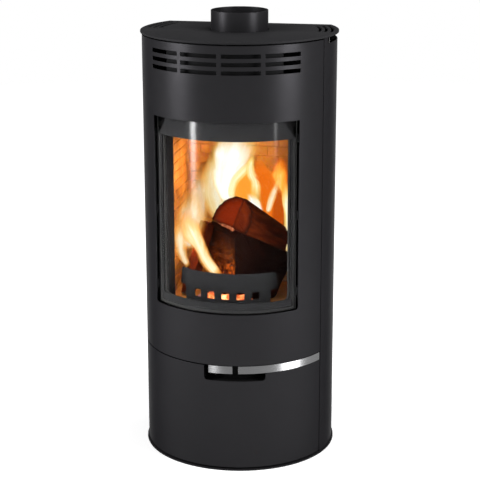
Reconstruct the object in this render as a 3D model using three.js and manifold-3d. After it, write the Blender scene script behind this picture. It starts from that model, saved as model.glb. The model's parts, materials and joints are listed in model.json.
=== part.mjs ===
// A free-standing round wood stove with a flat back, in millimetres.
//
// The row axis Z runs up through the centre of the round casing and the flue, and z = 0 is the floor.
// The stove faces -Y. Angles are measured round Z from the front (-Y) towards +X, the stove's own right
// as one looks at it. From the floor up it holds a storage room behind a plain door, an air room with a
// sliding air control, an ash room, the lined fire room behind the glass door, and the flue.
import * as THREE from "three";
import { mergeVertices } from "three/addons/utils/BufferGeometryUtils.js";
import Module from "manifold-3d";

const wasm = await Module();
wasm.setup();

// ---------------------------------------------------------------- driving dimensions
const facet = 3; // degrees in one flat of a round sheet
const touch = 0.3; // gap left between pieces that touch
const slip = 0.5; // gap between pieces that slide on each other
const overlap = 1; // how far shapes that are joined into one piece reach into each other
const overcut = 10; // how far a cutting shape reaches past what it cuts
const halfTurn = 180; // degrees
const overlapAngle = 1; // degrees, where joined or cut shapes reach past each other round the stove
const collarSides = 48; // flats round the flue
const spigotSides = 32; // flats round the air intake
const spacerSides = 12;
const rodSides = 12;
const leverEndSides = 120;

// casing
const bodyRadius = 255;
const backDistance = 130; // axis to the outside of the flat back
const shellSheet = 2.5;
const doorSheet = 3;
const doorHalfAngle = 68.2;
const sideSeam = 2.7; // between a door's edge and the side shell
const basePlateThickness = 4;
const baseOverhang = 4;
const topPlateThickness = 5;
const topOverhang = 4;

// heights of the two doors
const storageDoorClearance = 4; // above the base plate
const storageDoorHeight = 282;
const doorSeam = 3;
const fuelDoorHeight = 831;
const topShadowGap = 4;

// hinge line, shared by both doors
const hingeInset = 9; // from the outside of the casing
const hingeFromEdge = 20; // from the doors' left edge
const hingeAboveEdge = 45; // a door's bottom edge to the middle of its lower hinge
const fuelHingeBelowEdge = 120;
const storageHingeBelowEdge = 90;
const pinRadius = 3;
const knuckleRadius = 5.5;
const pinClearance = 0.25;
const rodProud = 3; // beyond the brackets
const knuckleLength = 40;
const leafLength = 26;
const leafClear = 8; // hinge line to the strip, between the tubes
const leafThickness = 3;
const tabThickness = 4;
const tabRadius = 5.3;

// louvres above the window
const louvreRows = 3;
const louvreGroups = 4;
const louvreGroupAngle = 22.3;
const louvreGroupGap = 2.5;
const louvreHeight = 10.5;
const louvrePitch = 20.7;
const louvreFromTop = 26; // door's top edge to the middle of the top row

// window
const windowHalfAngle = 48;
const windowSill = 138; // above the door's bottom edge
const windowHeight = 500;
const windowCorner = 8;
const glassInset = 8; // outside of the casing to the outside of the glass
const glassThickness = 4;
const glassSideGap = 0.5; // degrees between the window's edge and the glass
const glassSillGap = 1;
const tapeThickness = 1.6;
const tapeWidth = 8;
const glassFrameThickness = 3.5;
const glassFrameStile = 4; // degrees
const glassFrameSill = 27;
const glassFrameHead = 50;
const glassFrameChamferAngle = 9;
const glassFrameChamferHeight = 48;
const clipHeight = 22;
const clipGap = 0.3; // degrees between the glass and a claw
const clampClear = 0.6; // degrees between the window's edge and the clamp's strip
const clampAngle = 3;
const clampThickness = 3;
const clipLowest = 49; // lowest claw's middle above the window's sill
const clipPitch = 202.5;
const clipCount = 3;
const sealThickness = 7.6;
const sealWidth = 11;
const sealOverFrame = 2.5; // the seal's inner edge past the edge of the glass frame's opening

// handle bar, air knob and the finger pocket behind them
const barThickness = 4;
const barProud = 1; // stands out from the casing
const barHeight = 21;
const barGap = 0.7; // below the fuel door's skin
const barCutGap = 1.5; // between the bar and the storage door below it
const barStart = 10.5;
const barEnd = 67.2;
const knobTabThickness = 3;
const knobTabHalfAngle = 4;
const knobTabInset = 2;
const knobHalfAngle = 7.2;
const pocketStart = -10;
const pocketEnd = 26.7;
const pocketDepthBelowBar = 21;
const pocketCorner = 8;
const troughSheet = 2;
const troughReach = 32; // how far a finger reaches in
const troughBelowLever = 4;
const troughMargin = 2.8; // degrees beyond the pocket on each side

// air room
const hearthAboveSeam = 4; // fuel door's bottom edge to the underside of the hearth plate
const hearthThickness = 4;
const innerPlateInset = 38; // from the outside of the casing
const innerPlateBackGap = 8; // from the outside of the back
const airRoomHeight = 53;
const ceilingSheet = 2;
const leverDrop = 12; // hearth plate's underside to the lever's underside
const leverThickness = 3;
const leverHalfWidth = 11;
const leverHubRadius = 14;
const damperThickness = 3;
const damperMargin = 10; // damper beyond the ports, inwards and outwards
const damperHalfAngle = 30;
const riserInset = 4; // from the damper's edges to the block that carries it
const portFromEdge = 22; // from the edge of the hearth plate
const portLength = 35;
const portAngle = 2.2;
const portPitch = 5;
const portCount = 11;
const portOffset = 1.1; // degrees that the plate's ports stand off the damper's at rest: half open
const boltRadius = 4;
const boltClearance = 0.4;
const boltHeadRadius = 8;
const boltHeadHeight = 5;

// outside air
const intakeRadius = 50;
const intakeSheet = 2;
const intakeProud = 22; // behind the back panel
const intakeHeight = 130;
const ductSideGap = 12; // beyond the intake's bore
const ductDepth = 60;
const ductBackGap = 4; // from the back panel
const ductBelowIntake = 70; // from the intake's middle

// firebox
const fireboxSideGap = 63; // from the outside of the casing
const fireboxBackGap = 30;
const fireboxSheet = 4;
const fireboxHeight = 746; // hearth plate's underside to the top of the firebox
const frontFrameSheet = 3;
const ashOpeningHalfAngle = 40;
const ashOpeningHeight = 94; // above the hearth plate
const fireOpeningHalfAngle = 45.3;
const fireSillHeight = 140; // hearth plate's top to the bottom of the fire opening
const fireOpeningHeight = 446;

// fire room
const grateShelfHeight = 97; // hearth plate's top to the shelf's underside
const grateShelfThickness = 4;
const shelfGap = 1.5; // from the shelf and the floor bricks to the plates round them
const brickThickness = 24;
const sideBrickInset = 27; // firebox wall's inside to the brick's inside
const floorBrickHeight = 27.7;
const brickHeight = 470;
const brickFrontGap = 17; // from the front frame to the side bricks
const brickJoint = 1;
const grateSideGap = 75; // from the side bricks
const grateFrontGap = 80; // from the log guard
const grateBackGap = 41; // from the back brick
const grateThickness = 18;
const grateLedge = 8;
const grateRim = 4; // between the ledge and the slots' ends
const grateSlots = 9;
const grateSlotWidth = 9;
const grateSlotPitch = 18;
const guardInset = 35; // from the front frame
const guardSheet = 3;
const guardHeight = 92;
const guardBand = 46;
const guardBandHalfAngle = 43;
const guardFootHalfAngle = 36.6;
const guardCorner = 9;
const guardHoles = 5;
const guardHolePitch = 12;
const guardHoleAngle = 6;
const guardHoleHeight = 20;
const guardHoleDrop = 4; // below the band
const retainerSheet = 3;
const retainerGap = 3.5; // from the front frame
const leftRetainerLip = 7.5; // past the inner face of the side brick
const rightRetainerLip = 1.5;
const retainerLean = 7;
const baffleThickness = 20;
const baffleDepth = 150;
const baffleRest = 10; // the baffle's reach over the side bricks
const baffleTilt = 9;

// ash pan
const panSideGap = 3.3; // from the ash opening's edges
const panFrontGap = 70; // from the front frame
const panBackGap = 36; // from the back wall
const panHeight = 72;
const panSheet = 1.5;
const panGripHalfWidth = 45;
const panGripDepth = 22;
const panGripDrop = 14;
const panGripBelowRim = 8;

// flue
const collarRadius = 75;
const collarSheet = 2;
const collarRise = 50;
const collarHoleGap = 1.2;
const flangeWidth = 18;
const flangeThickness = 4;

// top plate's air slots
const topSlotCount = 3;
const topSlotFromEdge = 17; // plate's edge to the middle of the outer slot
const topSlotPitch = 16;
const topSlotWidth = 8;
const topSlotStart = 86;
const topSlotEnd = 117;

// side shells, posts and back
const notchStart = 73;
const notchEnd = 113;
const notchDepth = 16;
const postStart = 70.6;
const postSheet = 4;
const postFlangeAngle = 6;
const postDepth = 36; // from the outside of the casing
const postOuterGap = 3.5; // casing's outside to the post's outside
const backPanelInset = 1; // from the side shells
const backFoldSheet = 2;
const backFoldDepth = 14;
const ventSlotLength = 70;
const ventSlotHeight = 8;
const ventSlotPitch = 18;
const ventRows = 5;
const ventColumns = 3;
const ventColumnPitch = 105;
const upperVentHeight = 985; // lowest upper row
const lowerVentHeight = 300; // lowest lower row
const shieldNarrower = 7; // than the firebox, on each side
const shieldSheet = 1.5;
const shieldBehindFirebox = 12;
const shieldBottom = 420;
const shieldHeight = 540;
const spacerRadius = 8;
const frontSpacerInset = 85; // from the outside of the casing
const frontSpacerAngle = 45;
const rearSpacerInset = 130;
const rearSpacerAngle = 130;
const louvreBaffleHalfAngle = 39;
const louvreBaffleInset = 17; // from the outside of the casing
const louvreBaffleSheet = 2;
const louvreBaffleFoot = 30;

// firewood: each split log's width, height and length, and its heading in degrees
const lowerLogSize = [166, 200, 162];
const lowerLogPlace = [32.6, -47.1];
const upperLogSize = [104, 86, 156];
const upperLogPlace = [50, -85];
const upperLogHeading = 40;
const upperLogTaper = 0.66; // height of its far end in shares of its near end's
const upperLogCut = 27; // how far its near end is sawn off square, in degrees
const slopeAngle = 26; // of the split face of the lower log, on which the upper log lies
const smallLogSize = [38, 34, 200];
const smallLogFromBrick = 70.5;
const smallLogMiddle = -74.5;
const smallLogHeading = 40;
const smallLogLean = -72;
const logGap = 2;

// latch: a shaft that the handle bar turns, with a claw that closes on a roller
const shaftAngle = 62.5;
const shaftInset = 17; // from the outside of the casing to the shaft's axis
const shaftRadius = 5;
const shaftClearance = 0.3;
const shaftTop = 350; // above the fuel door's bottom edge
const bearingHeight = 10;
const bearingWall = 4; // behind the shaft
const armWall = 5;
const bearingHalfAngle = 2.4;
const bearingLowest = 8; // lowest bearing's underside above the door's bottom edge
const bearingPitch = 164;
const bearingCount = 3;
const railThickness = 3;
const armHalfAngle = 2.6;
const armInset = 3; // the arm's top and bottom from the bar's
const clawMiddle = 320; // above the door's bottom edge
const clawThickness = 8;
const clawAngle = 3.7;
const clawInwards = 8; // from the shaft's axis
const clawOutwards = 5;
const rollerAngle = 67.6;
const rollerInwards = 3; // of the shaft's circle
const rollerRadius = 4;
const keeperGap = 9; // roller's bare length on each side of its middle
const keeperTab = 3;
const keeperPlateHalf = 11;

// magnet that holds the storage door
const magnetAngle = 64;
const magnetWidthAngle = 4;
const magnetHeight = 44;
const magnetMiddle = 150;
const magnetDepth = 12;
const magnetBracket = 3;

// ---------------------------------------------------------------- levels and radii worked out from them
const storageDoorBottom = basePlateThickness + storageDoorClearance;
const storageDoorTop = storageDoorBottom + storageDoorHeight;
const fuelDoorBottom = storageDoorTop + doorSeam;
const fuelDoorTop = fuelDoorBottom + fuelDoorHeight;
const topPlateBottom = fuelDoorTop + topShadowGap;
const topPlateTop = topPlateBottom + topPlateThickness;
const collarTop = topPlateTop + collarRise;
const hearthBottom = fuelDoorBottom + hearthAboveSeam;
const hearthTop = hearthBottom + hearthThickness;
const ceilingTop = hearthBottom - airRoomHeight;
const barTop = fuelDoorBottom - barGap;
const barBottom = barTop - barHeight;
const pocketBottom = barBottom - pocketDepthBelowBar;
const fireboxTop = hearthBottom + fireboxHeight;
const windowBottom = fuelDoorBottom + windowSill;
const windowTop = windowBottom + windowHeight;
const shelfTop = hearthTop + grateShelfHeight + grateShelfThickness;
const floorTop = shelfTop + touch + floorBrickHeight;
const bricksTop = floorTop + brickHeight;
const doorInner = bodyRadius - doorSheet;
const innerPlateRadius = bodyRadius - innerPlateInset;
const innerPlateBack = backDistance - innerPlateBackGap;
const portOuter = innerPlateRadius - portFromEdge;
const portInner = portOuter - portLength;
const damperOuter = portOuter + damperMargin;
const damperInner = portInner - damperMargin;
const postInner = bodyRadius - postDepth;
const louvreBaffleRadius = bodyRadius - louvreBaffleInset;
const fireboxHalfWidth = bodyRadius - fireboxSideGap;
const fireboxBack = backDistance - fireboxBackGap;
const shellInner = bodyRadius - shellSheet;
const glassOuter = bodyRadius - glassInset;
const glassInner = glassOuter - glassThickness;
const glassFrameOuter = glassInner - touch - tapeThickness - touch;
const glassFrameInner = glassFrameOuter - glassFrameThickness;
const sealOuter = glassFrameInner - touch;
const sealInner = sealOuter - sealThickness;
const frontFrameOuter = sealInner - touch;
const frontFrameInner = frontFrameOuter - frontFrameSheet;
const barOuter = bodyRadius + barProud;
const barInner = barOuter - barThickness;
const knobTabOuter = barInner - touch;
const knobTabInner = knobTabOuter - knobTabThickness;
const shaftCentre = bodyRadius - shaftInset;
const clawInner = shaftCentre - clawInwards;
const clawOuter = shaftCentre + clawOutwards;
const rollerCentre = shaftCentre - rollerInwards;
const clipHeights = series(clipLowest, clipPitch, clipCount);
const bearingLevels = series(bearingLowest, bearingPitch, bearingCount);
const damperTop = hearthBottom - slip;
const damperBottom = damperTop - damperThickness;
const leverBottom = hearthBottom - leverDrop;
const leverTop = leverBottom + leverThickness;
const hingeRadius = bodyRadius - hingeInset;
const hingeAngle = -(doorHalfAngle - degreesAlong(hingeFromEdge, bodyRadius));
const sideStart = doorHalfAngle + degreesAlong(sideSeam, bodyRadius);
const wallInner = fireboxHalfWidth - fireboxSheet;
const brickInner = wallInner - sideBrickInset;
const brickOuter = brickInner + brickThickness;
const brickFront = frontFrameAt(brickOuter) + brickFrontGap;
const backBrickFront = fireboxBack - fireboxSheet - touch - brickThickness;
const guardRadius = frontFrameInner - guardInset;
const grateHalfWidth = brickInner - grateSideGap;
const grateFront = grateFrontGap - guardRadius;
const grateBack = backBrickFront - grateBackGap;
const panHalfWidth = polar(frontFrameInner, ashOpeningHalfAngle)[0] - panSideGap;
const panFront = panFrontGap - frontFrameInner;
const panBack = fireboxBack - fireboxSheet - panBackGap;
const ductHalfWidth = intakeRadius + ductSideGap;
const ductBottom = intakeHeight - ductBelowIntake;

// ---------------------------------------------------------------- geometry helpers
function radians(degrees) {
  return (degrees * Math.PI) / halfTurn;
}

// The angle in degrees that a length along an arc of this radius spans.
function degreesAlong(length, radius) {
  return (length / radius) * (halfTurn / Math.PI);
}

// The angle in degrees from the flat back's direction to where a circle meets a line at this distance.
function backAngle(back, radius) {
  return halfTurn - (Math.acos(back / radius) * halfTurn) / Math.PI;
}

// The angle in degrees at which a circle is this far to the side of the axis.
function sideAngle(halfWidth, radius) {
  return (Math.asin(halfWidth / radius) * halfTurn) / Math.PI;
}

// The point at a radius and an angle round the stove, as [x, y].
function polar(radius, degrees) {
  return [radius * Math.sin(radians(degrees)), -radius * Math.cos(radians(degrees))];
}

// Where the inside of the firebox's front frame is at a distance from the middle.
function frontFrameAt(x) {
  return -Math.sqrt(frontFrameInner ** 2 - x ** 2);
}

// Evenly spaced values.
function series(first, pitch, count) {
  return Array.from({ length: count }, (_, i) => first + i * pitch);
}

// The points of an arc, on flats that all concentric pieces share.
function arc(radius, start, end) {
  const angles = [start];
  for (let a = Math.ceil(start / facet + 0.05) * facet; a < end - facet * 0.05; a += facet) {
    angles.push(a);
  }
  angles.push(end);
  return angles.map((a) => polar(radius, a));
}

function shapeOf(points, holes = []) {
  const shape = new THREE.Shape(points.map(([x, y]) => new THREE.Vector2(x, y)));
  for (const hole of holes) {
    shape.holes.push(new THREE.Path(hole.map(([x, y]) => new THREE.Vector2(x, y))));
  }
  return shape;
}

// A plan outline raised from one level to another.
function raise(points, bottom, top, holes = []) {
  const geometry = new THREE.ExtrudeGeometry(shapeOf(points, holes), {
    depth: top - bottom,
    bevelEnabled: false,
    steps: 1,
  });
  geometry.translate(0, 0, bottom);
  return geometry;
}

function sectorOutline(inner, outer, start, end) {
  return [...arc(outer, start, end), ...arc(inner, start, end).reverse()];
}

// A curved sheet or block between two radii, two angles and two levels.
function sector(inner, outer, start, end, bottom, top) {
  return raise(sectorOutline(inner, outer, start, end), bottom, top);
}

function box(x0, x1, y0, y1, z0, z1) {
  const geometry = new THREE.BoxGeometry(x1 - x0, y1 - y0, z1 - z0);
  geometry.translate((x0 + x1) / 2, (y0 + y1) / 2, (z0 + z1) / 2);
  return geometry;
}

function circle(x, y, radius, sides) {
  const points = [];
  for (let i = 0; i < sides; i += 1) {
    const a = (2 * Math.PI * (i + 0.5)) / sides;
    points.push([x + radius * Math.cos(a), y + radius * Math.sin(a)]);
  }
  return points;
}

function post(x, y, radius, bottom, top, sides = 16) {
  return raise(circle(x, y, radius, sides), bottom, top);
}

// A round bar along Y.
function barAlongY(x, z, radius, y0, y1, sides = 16) {
  const geometry = post(0, 0, radius, y0, y1, sides);
  geometry.rotateX(-Math.PI / 2);
  geometry.translate(x, 0, z);
  return geometry;
}

// A small prism drawn in degrees and height, and bent round the stove between two radii.
function bent(points, inner, outer) {
  const geometry = new THREE.ExtrudeGeometry(shapeOf(points), { depth: 1, bevelEnabled: false, steps: 1 });
  const place = geometry.getAttribute("position");
  for (let i = 0; i < place.count; i += 1) {
    const radius = inner + (outer - inner) * place.getZ(i);
    const z = place.getY(i);
    const [x, y] = polar(radius, place.getX(i));
    place.setXYZ(i, x, y, z);
  }
  return geometry;
}

function solid(geometry) {
  const bare = geometry.clone();
  bare.deleteAttribute("normal");
  bare.deleteAttribute("uv");
  const merged = mergeVertices(bare, 1e-4);
  return new wasm.Manifold(
    new wasm.Mesh({
      numProp: 3,
      vertProperties: new Float32Array(merged.getAttribute("position").array),
      triVerts: new Uint32Array(merged.getIndex().array),
    }),
  );
}

function geometryOf(manifold) {
  const mesh = manifold.getMesh();
  const geometry = new THREE.BufferGeometry();
  geometry.setAttribute("position", new THREE.BufferAttribute(new Float32Array(mesh.vertProperties), 3));
  geometry.setIndex(new THREE.BufferAttribute(new Uint32Array(mesh.triVerts), 1));
  geometry.computeVertexNormals();
  return geometry;
}

function cut(body, ...tools) {
  return geometryOf(tools.reduce((kept, tool) => kept.subtract(solid(tool)), solid(body)));
}

function join(...bodies) {
  return geometryOf(bodies.slice(1).reduce((whole, body) => whole.add(solid(body)), solid(bodies[0])));
}

function meet(first, second) {
  return geometryOf(solid(first).intersect(solid(second)));
}

// The piece between a sheet's square corner and the arc that rounds it. Joined on, it fills the inside
// corner of an opening; cut off, it rounds an outside corner. The sides leave the corner as given.
function cornerFill(angle, level, towardsAngle, towardsUp, size, inner, outer) {
  const bite = 0.2;
  const width = degreesAlong(size, outer);
  const extra = degreesAlong(bite, outer);
  const points = [
    [angle - towardsAngle * extra, level - towardsUp * bite],
    [angle + towardsAngle * width, level - towardsUp * bite],
  ];
  const steps = 5;
  for (let i = 0; i <= steps; i += 1) {
    const a = (Math.PI / 2) * (i / steps);
    points.push([
      angle + towardsAngle * width * (1 - Math.sin(a)),
      level + towardsUp * size * (1 - Math.cos(a)),
    ]);
  }
  points.push([angle - towardsAngle * extra, level + towardsUp * size]);
  return bent(points, inner, outer);
}

// ---------------------------------------------------------------- plan outlines
// A round plate with the flat back.
function dOutline(radius, back) {
  const end = backAngle(back, radius);
  return arc(radius, -end, end);
}

// The firebox in plan: a round front and straight sides.
function fireboxOutline() {
  const end = sideAngle(fireboxHalfWidth, frontFrameOuter);
  return [
    ...arc(frontFrameOuter, -end, end),
    [fireboxHalfWidth, fireboxBack],
    [-fireboxHalfWidth, fireboxBack],
  ];
}

// ---------------------------------------------------------------- materials
function steelPaint(colour, roughness) {
  return new THREE.MeshStandardMaterial({ color: colour, roughness, metalness: 0.3 });
}
const casingPaint = steelPaint(0x3b3a3c, 0.55);
const innerPaint = steelPaint(0x242325, 0.75);
const stainless = new THREE.MeshStandardMaterial({ color: 0xc9c9cb, roughness: 0.28, metalness: 1 });
const zincPlate = new THREE.MeshStandardMaterial({ color: 0x9b9c9e, roughness: 0.45, metalness: 0.9 });
const castIron = new THREE.MeshStandardMaterial({ color: 0x2b2a29, roughness: 0.8, metalness: 0.5 });
const vermiculite = new THREE.MeshStandardMaterial({ color: 0xb98a5a, roughness: 0.95, metalness: 0 });
const glassRope = new THREE.MeshStandardMaterial({ color: 0x4a4a4b, roughness: 1, metalness: 0 });
const firewood = new THREE.MeshStandardMaterial({ color: 0x5a2f1a, roughness: 0.9, metalness: 0 });
const ceramicGlass = new THREE.MeshStandardMaterial({
  color: 0x202224,
  roughness: 0.05,
  metalness: 0,
  transparent: true,
  opacity: 0.25,
});

const stove = new THREE.Group();

function add(name, geometry, material) {
  const mesh = new THREE.Mesh(geometry, material);
  mesh.name = name;
  stove.add(mesh);
  return mesh;
}

// ---------------------------------------------------------------- casing
function casing() {
  const baseOutline = dOutline(bodyRadius + baseOverhang, backDistance + baseOverhang);
  add("base_plate", raise(baseOutline, 0, basePlateThickness), casingPaint);

  const shellBottom = basePlateThickness + touch;
  const shellTop = topPlateBottom - touch;
  const shellEnd = backAngle(backDistance - touch, bodyRadius);
  const rightShell = cut(
    sector(shellInner, bodyRadius, sideStart, shellEnd, shellBottom, shellTop),
    sector(
      shellInner - overcut,
      bodyRadius + overcut,
      notchStart,
      notchEnd,
      shellTop - notchDepth,
      shellTop + overcut,
    ),
  );
  add("right_side_shell", rightShell, casingPaint);
  add("left_side_shell", mirrored(rightShell), casingPaint);

  const postOuter = bodyRadius - postOuterGap;
  const postThickAngle = degreesAlong(postSheet, postInner);
  const rightPost = join(
    sector(postInner, postOuter, postStart, postStart + postThickAngle, shellBottom, shellTop),
    sector(postOuter - postSheet, postOuter, postStart, postStart + postFlangeAngle, shellBottom, shellTop),
  );
  add("right_door_post", rightPost, innerPaint);
  add("left_door_post", mirrored(rightPost), innerPaint);

  backPanel(shellBottom, shellTop);
  topPlate();
}

function mirrored(geometry) {
  const flipped = geometry.clone();
  flipped.scale(-1, 1, 1);
  const index = flipped.getIndex();
  for (let i = 0; i < index.count; i += 3) {
    const first = index.getX(i);
    index.setX(i, index.getX(i + 1));
    index.setX(i + 1, first);
  }
  flipped.computeVertexNormals();
  return flipped;
}

function backPanel(bottom, top) {
  const inside = backDistance - shellSheet;
  const halfWidth = Math.sqrt(shellInner ** 2 - backDistance ** 2) - backPanelInset;
  const vents = [];
  for (const firstRow of [upperVentHeight, lowerVentHeight]) {
    for (let row = 0; row < ventRows; row += 1) {
      for (let column = 0; column < ventColumns; column += 1) {
        const x = (column - (ventColumns - 1) / 2) * ventColumnPitch;
        const z = firstRow + row * ventSlotPitch;
        vents.push(
          box(
            x - ventSlotLength / 2,
            x + ventSlotLength / 2,
            inside - overcut,
            backDistance + overcut,
            z,
            z + ventSlotHeight,
          ),
        );
      }
    }
  }
  const folds = [-1, 1].map((side) => {
    const outer = side * halfWidth;
    const inner = side * (halfWidth - backFoldSheet);
    return box(
      Math.min(outer, inner),
      Math.max(outer, inner),
      backDistance - backFoldDepth,
      inside + overlap,
      bottom,
      top,
    );
  });
  const sheet = join(box(-halfWidth, halfWidth, inside, backDistance, bottom, top), ...folds);
  const mouth = barAlongY(
    0,
    intakeHeight,
    intakeRadius + touch,
    inside - overcut,
    backDistance + overcut,
    spigotSides,
  );
  add("back_panel", cut(sheet, ...vents, mouth), casingPaint);

  const shieldFront = fireboxBack + shieldBehindFirebox;
  const shieldHalfWidth = fireboxHalfWidth - shieldNarrower;
  add(
    "rear_heat_shield",
    box(
      -shieldHalfWidth,
      shieldHalfWidth,
      shieldFront,
      shieldFront + shieldSheet,
      shieldBottom,
      shieldBottom + shieldHeight,
    ),
    zincPlate,
  );
}

function topPlate() {
  const slots = [];
  const topSlotRadii = series(bodyRadius + topOverhang - topSlotFromEdge, -topSlotPitch, topSlotCount);
  for (const radius of topSlotRadii) {
    for (const [start, end] of [
      [topSlotStart, topSlotEnd],
      [-topSlotEnd, -topSlotStart],
    ]) {
      slots.push(
        sector(
          radius - topSlotWidth / 2,
          radius + topSlotWidth / 2,
          start,
          end,
          topPlateBottom - overcut,
          topPlateTop + overcut,
        ),
      );
    }
  }
  const spacers = [
    [frontSpacerInset, -frontSpacerAngle],
    [frontSpacerInset, frontSpacerAngle],
    [rearSpacerInset, -rearSpacerAngle],
    [rearSpacerInset, rearSpacerAngle],
  ].map(([inset, angle]) => {
    const [x, y] = polar(bodyRadius - inset, angle);
    return post(x, y, spacerRadius, fireboxTop + touch, topPlateBottom + overlap, spacerSides);
  });
  const outline = dOutline(bodyRadius + topOverhang, backDistance + topOverhang);
  const plate = cut(
    join(raise(outline, topPlateBottom, topPlateTop), ...spacers),
    ...slots,
    post(0, 0, collarRadius + collarHoleGap, topPlateBottom - overcut, topPlateTop + overcut, collarSides),
  );
  add("top_plate", plate, casingPaint);

  const footTop = fireboxTop + touch + louvreBaffleSheet;
  add(
    "louvre_baffle",
    join(
      sector(
        louvreBaffleRadius - louvreBaffleSheet,
        louvreBaffleRadius,
        -louvreBaffleHalfAngle,
        louvreBaffleHalfAngle,
        fireboxTop + touch,
        topPlateBottom - topShadowGap,
      ),
      sector(
        louvreBaffleRadius - louvreBaffleFoot,
        louvreBaffleRadius - louvreBaffleSheet + slip,
        -louvreBaffleHalfAngle,
        louvreBaffleHalfAngle,
        fireboxTop + touch,
        footTop,
      ),
    ),
    innerPaint,
  );
}

// ---------------------------------------------------------------- flue
function flue() {
  const bore = circle(0, 0, collarRadius - collarSheet, collarSides);
  const flangeTop = fireboxTop + flangeThickness;
  add(
    "flue_collar",
    join(
      raise(circle(0, 0, collarRadius, collarSides), fireboxTop + touch, collarTop, [bore]),
      raise(circle(0, 0, collarRadius + flangeWidth, collarSides), fireboxTop + touch, flangeTop, [bore]),
    ),
    casingPaint,
  );
}

// ---------------------------------------------------------------- firebox
function firebox() {
  const bottom = hearthTop + touch;
  const top = fireboxTop - fireboxSheet - touch;
  const frameEnd = sideAngle(fireboxHalfWidth, frontFrameOuter);
  const fireBottom = hearthTop + fireSillHeight;
  add(
    "firebox_front_frame",
    cut(
      sector(frontFrameInner, frontFrameOuter, -frameEnd, frameEnd, bottom, top),
      sector(
        frontFrameInner - overcut,
        frontFrameOuter + overcut,
        -ashOpeningHalfAngle,
        ashOpeningHalfAngle,
        bottom - overcut,
        hearthTop + ashOpeningHeight,
      ),
      sector(
        frontFrameInner - overcut,
        frontFrameOuter + overcut,
        -fireOpeningHalfAngle,
        fireOpeningHalfAngle,
        fireBottom,
        fireBottom + fireOpeningHeight,
      ),
    ),
    innerPaint,
  );

  const wallFront = -frontFrameInner * Math.cos(radians(frameEnd)) + touch;
  const wallBack = fireboxBack - fireboxSheet - touch;
  const rightWall = box(wallInner, fireboxHalfWidth, wallFront, wallBack, bottom, top);
  add("firebox_right_wall", rightWall, innerPaint);
  add("firebox_left_wall", mirrored(rightWall), innerPaint);
  add(
    "firebox_back_wall",
    box(-fireboxHalfWidth, fireboxHalfWidth, wallBack + touch, fireboxBack, bottom, top),
    innerPaint,
  );
  add(
    "firebox_top",
    raise(fireboxOutline(), fireboxTop - fireboxSheet, fireboxTop, [
      circle(0, 0, collarRadius - collarSheet, collarSides),
    ]),
    innerPaint,
  );

  const ports = [];
  for (let i = 0; i < portCount; i += 1) {
    const middle = (i - (portCount - 1) / 2) * portPitch + portOffset;
    ports.push(
      sector(
        portInner,
        portOuter,
        middle - portAngle / 2,
        middle + portAngle / 2,
        hearthBottom - overcut,
        hearthTop + overcut,
      ),
    );
  }
  add(
    "hearth_plate",
    cut(
      raise(dOutline(innerPlateRadius, innerPlateBack), hearthBottom, hearthTop),
      ...ports,
      post(0, 0, boltRadius + boltClearance, hearthBottom - overcut, hearthTop + overcut),
    ),
    innerPaint,
  );

  const shelfHole = [
    -grateHalfWidth + grateLedge,
    grateHalfWidth - grateLedge,
    grateFront + grateLedge,
    grateBack - grateLedge,
  ];
  const shelf = meet(
    raise(
      dOutline(frontFrameInner - shelfGap, wallBack - shelfGap),
      shelfTop - grateShelfThickness,
      shelfTop,
    ),
    box(
      shelfGap - wallInner,
      wallInner - shelfGap,
      -bodyRadius,
      bodyRadius,
      shelfTop - overcut,
      shelfTop + overcut,
    ),
  );
  add("grate_shelf", cut(shelf, box(...shelfHole, shelfTop - overcut, shelfTop + overcut)), innerPaint);
}

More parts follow.
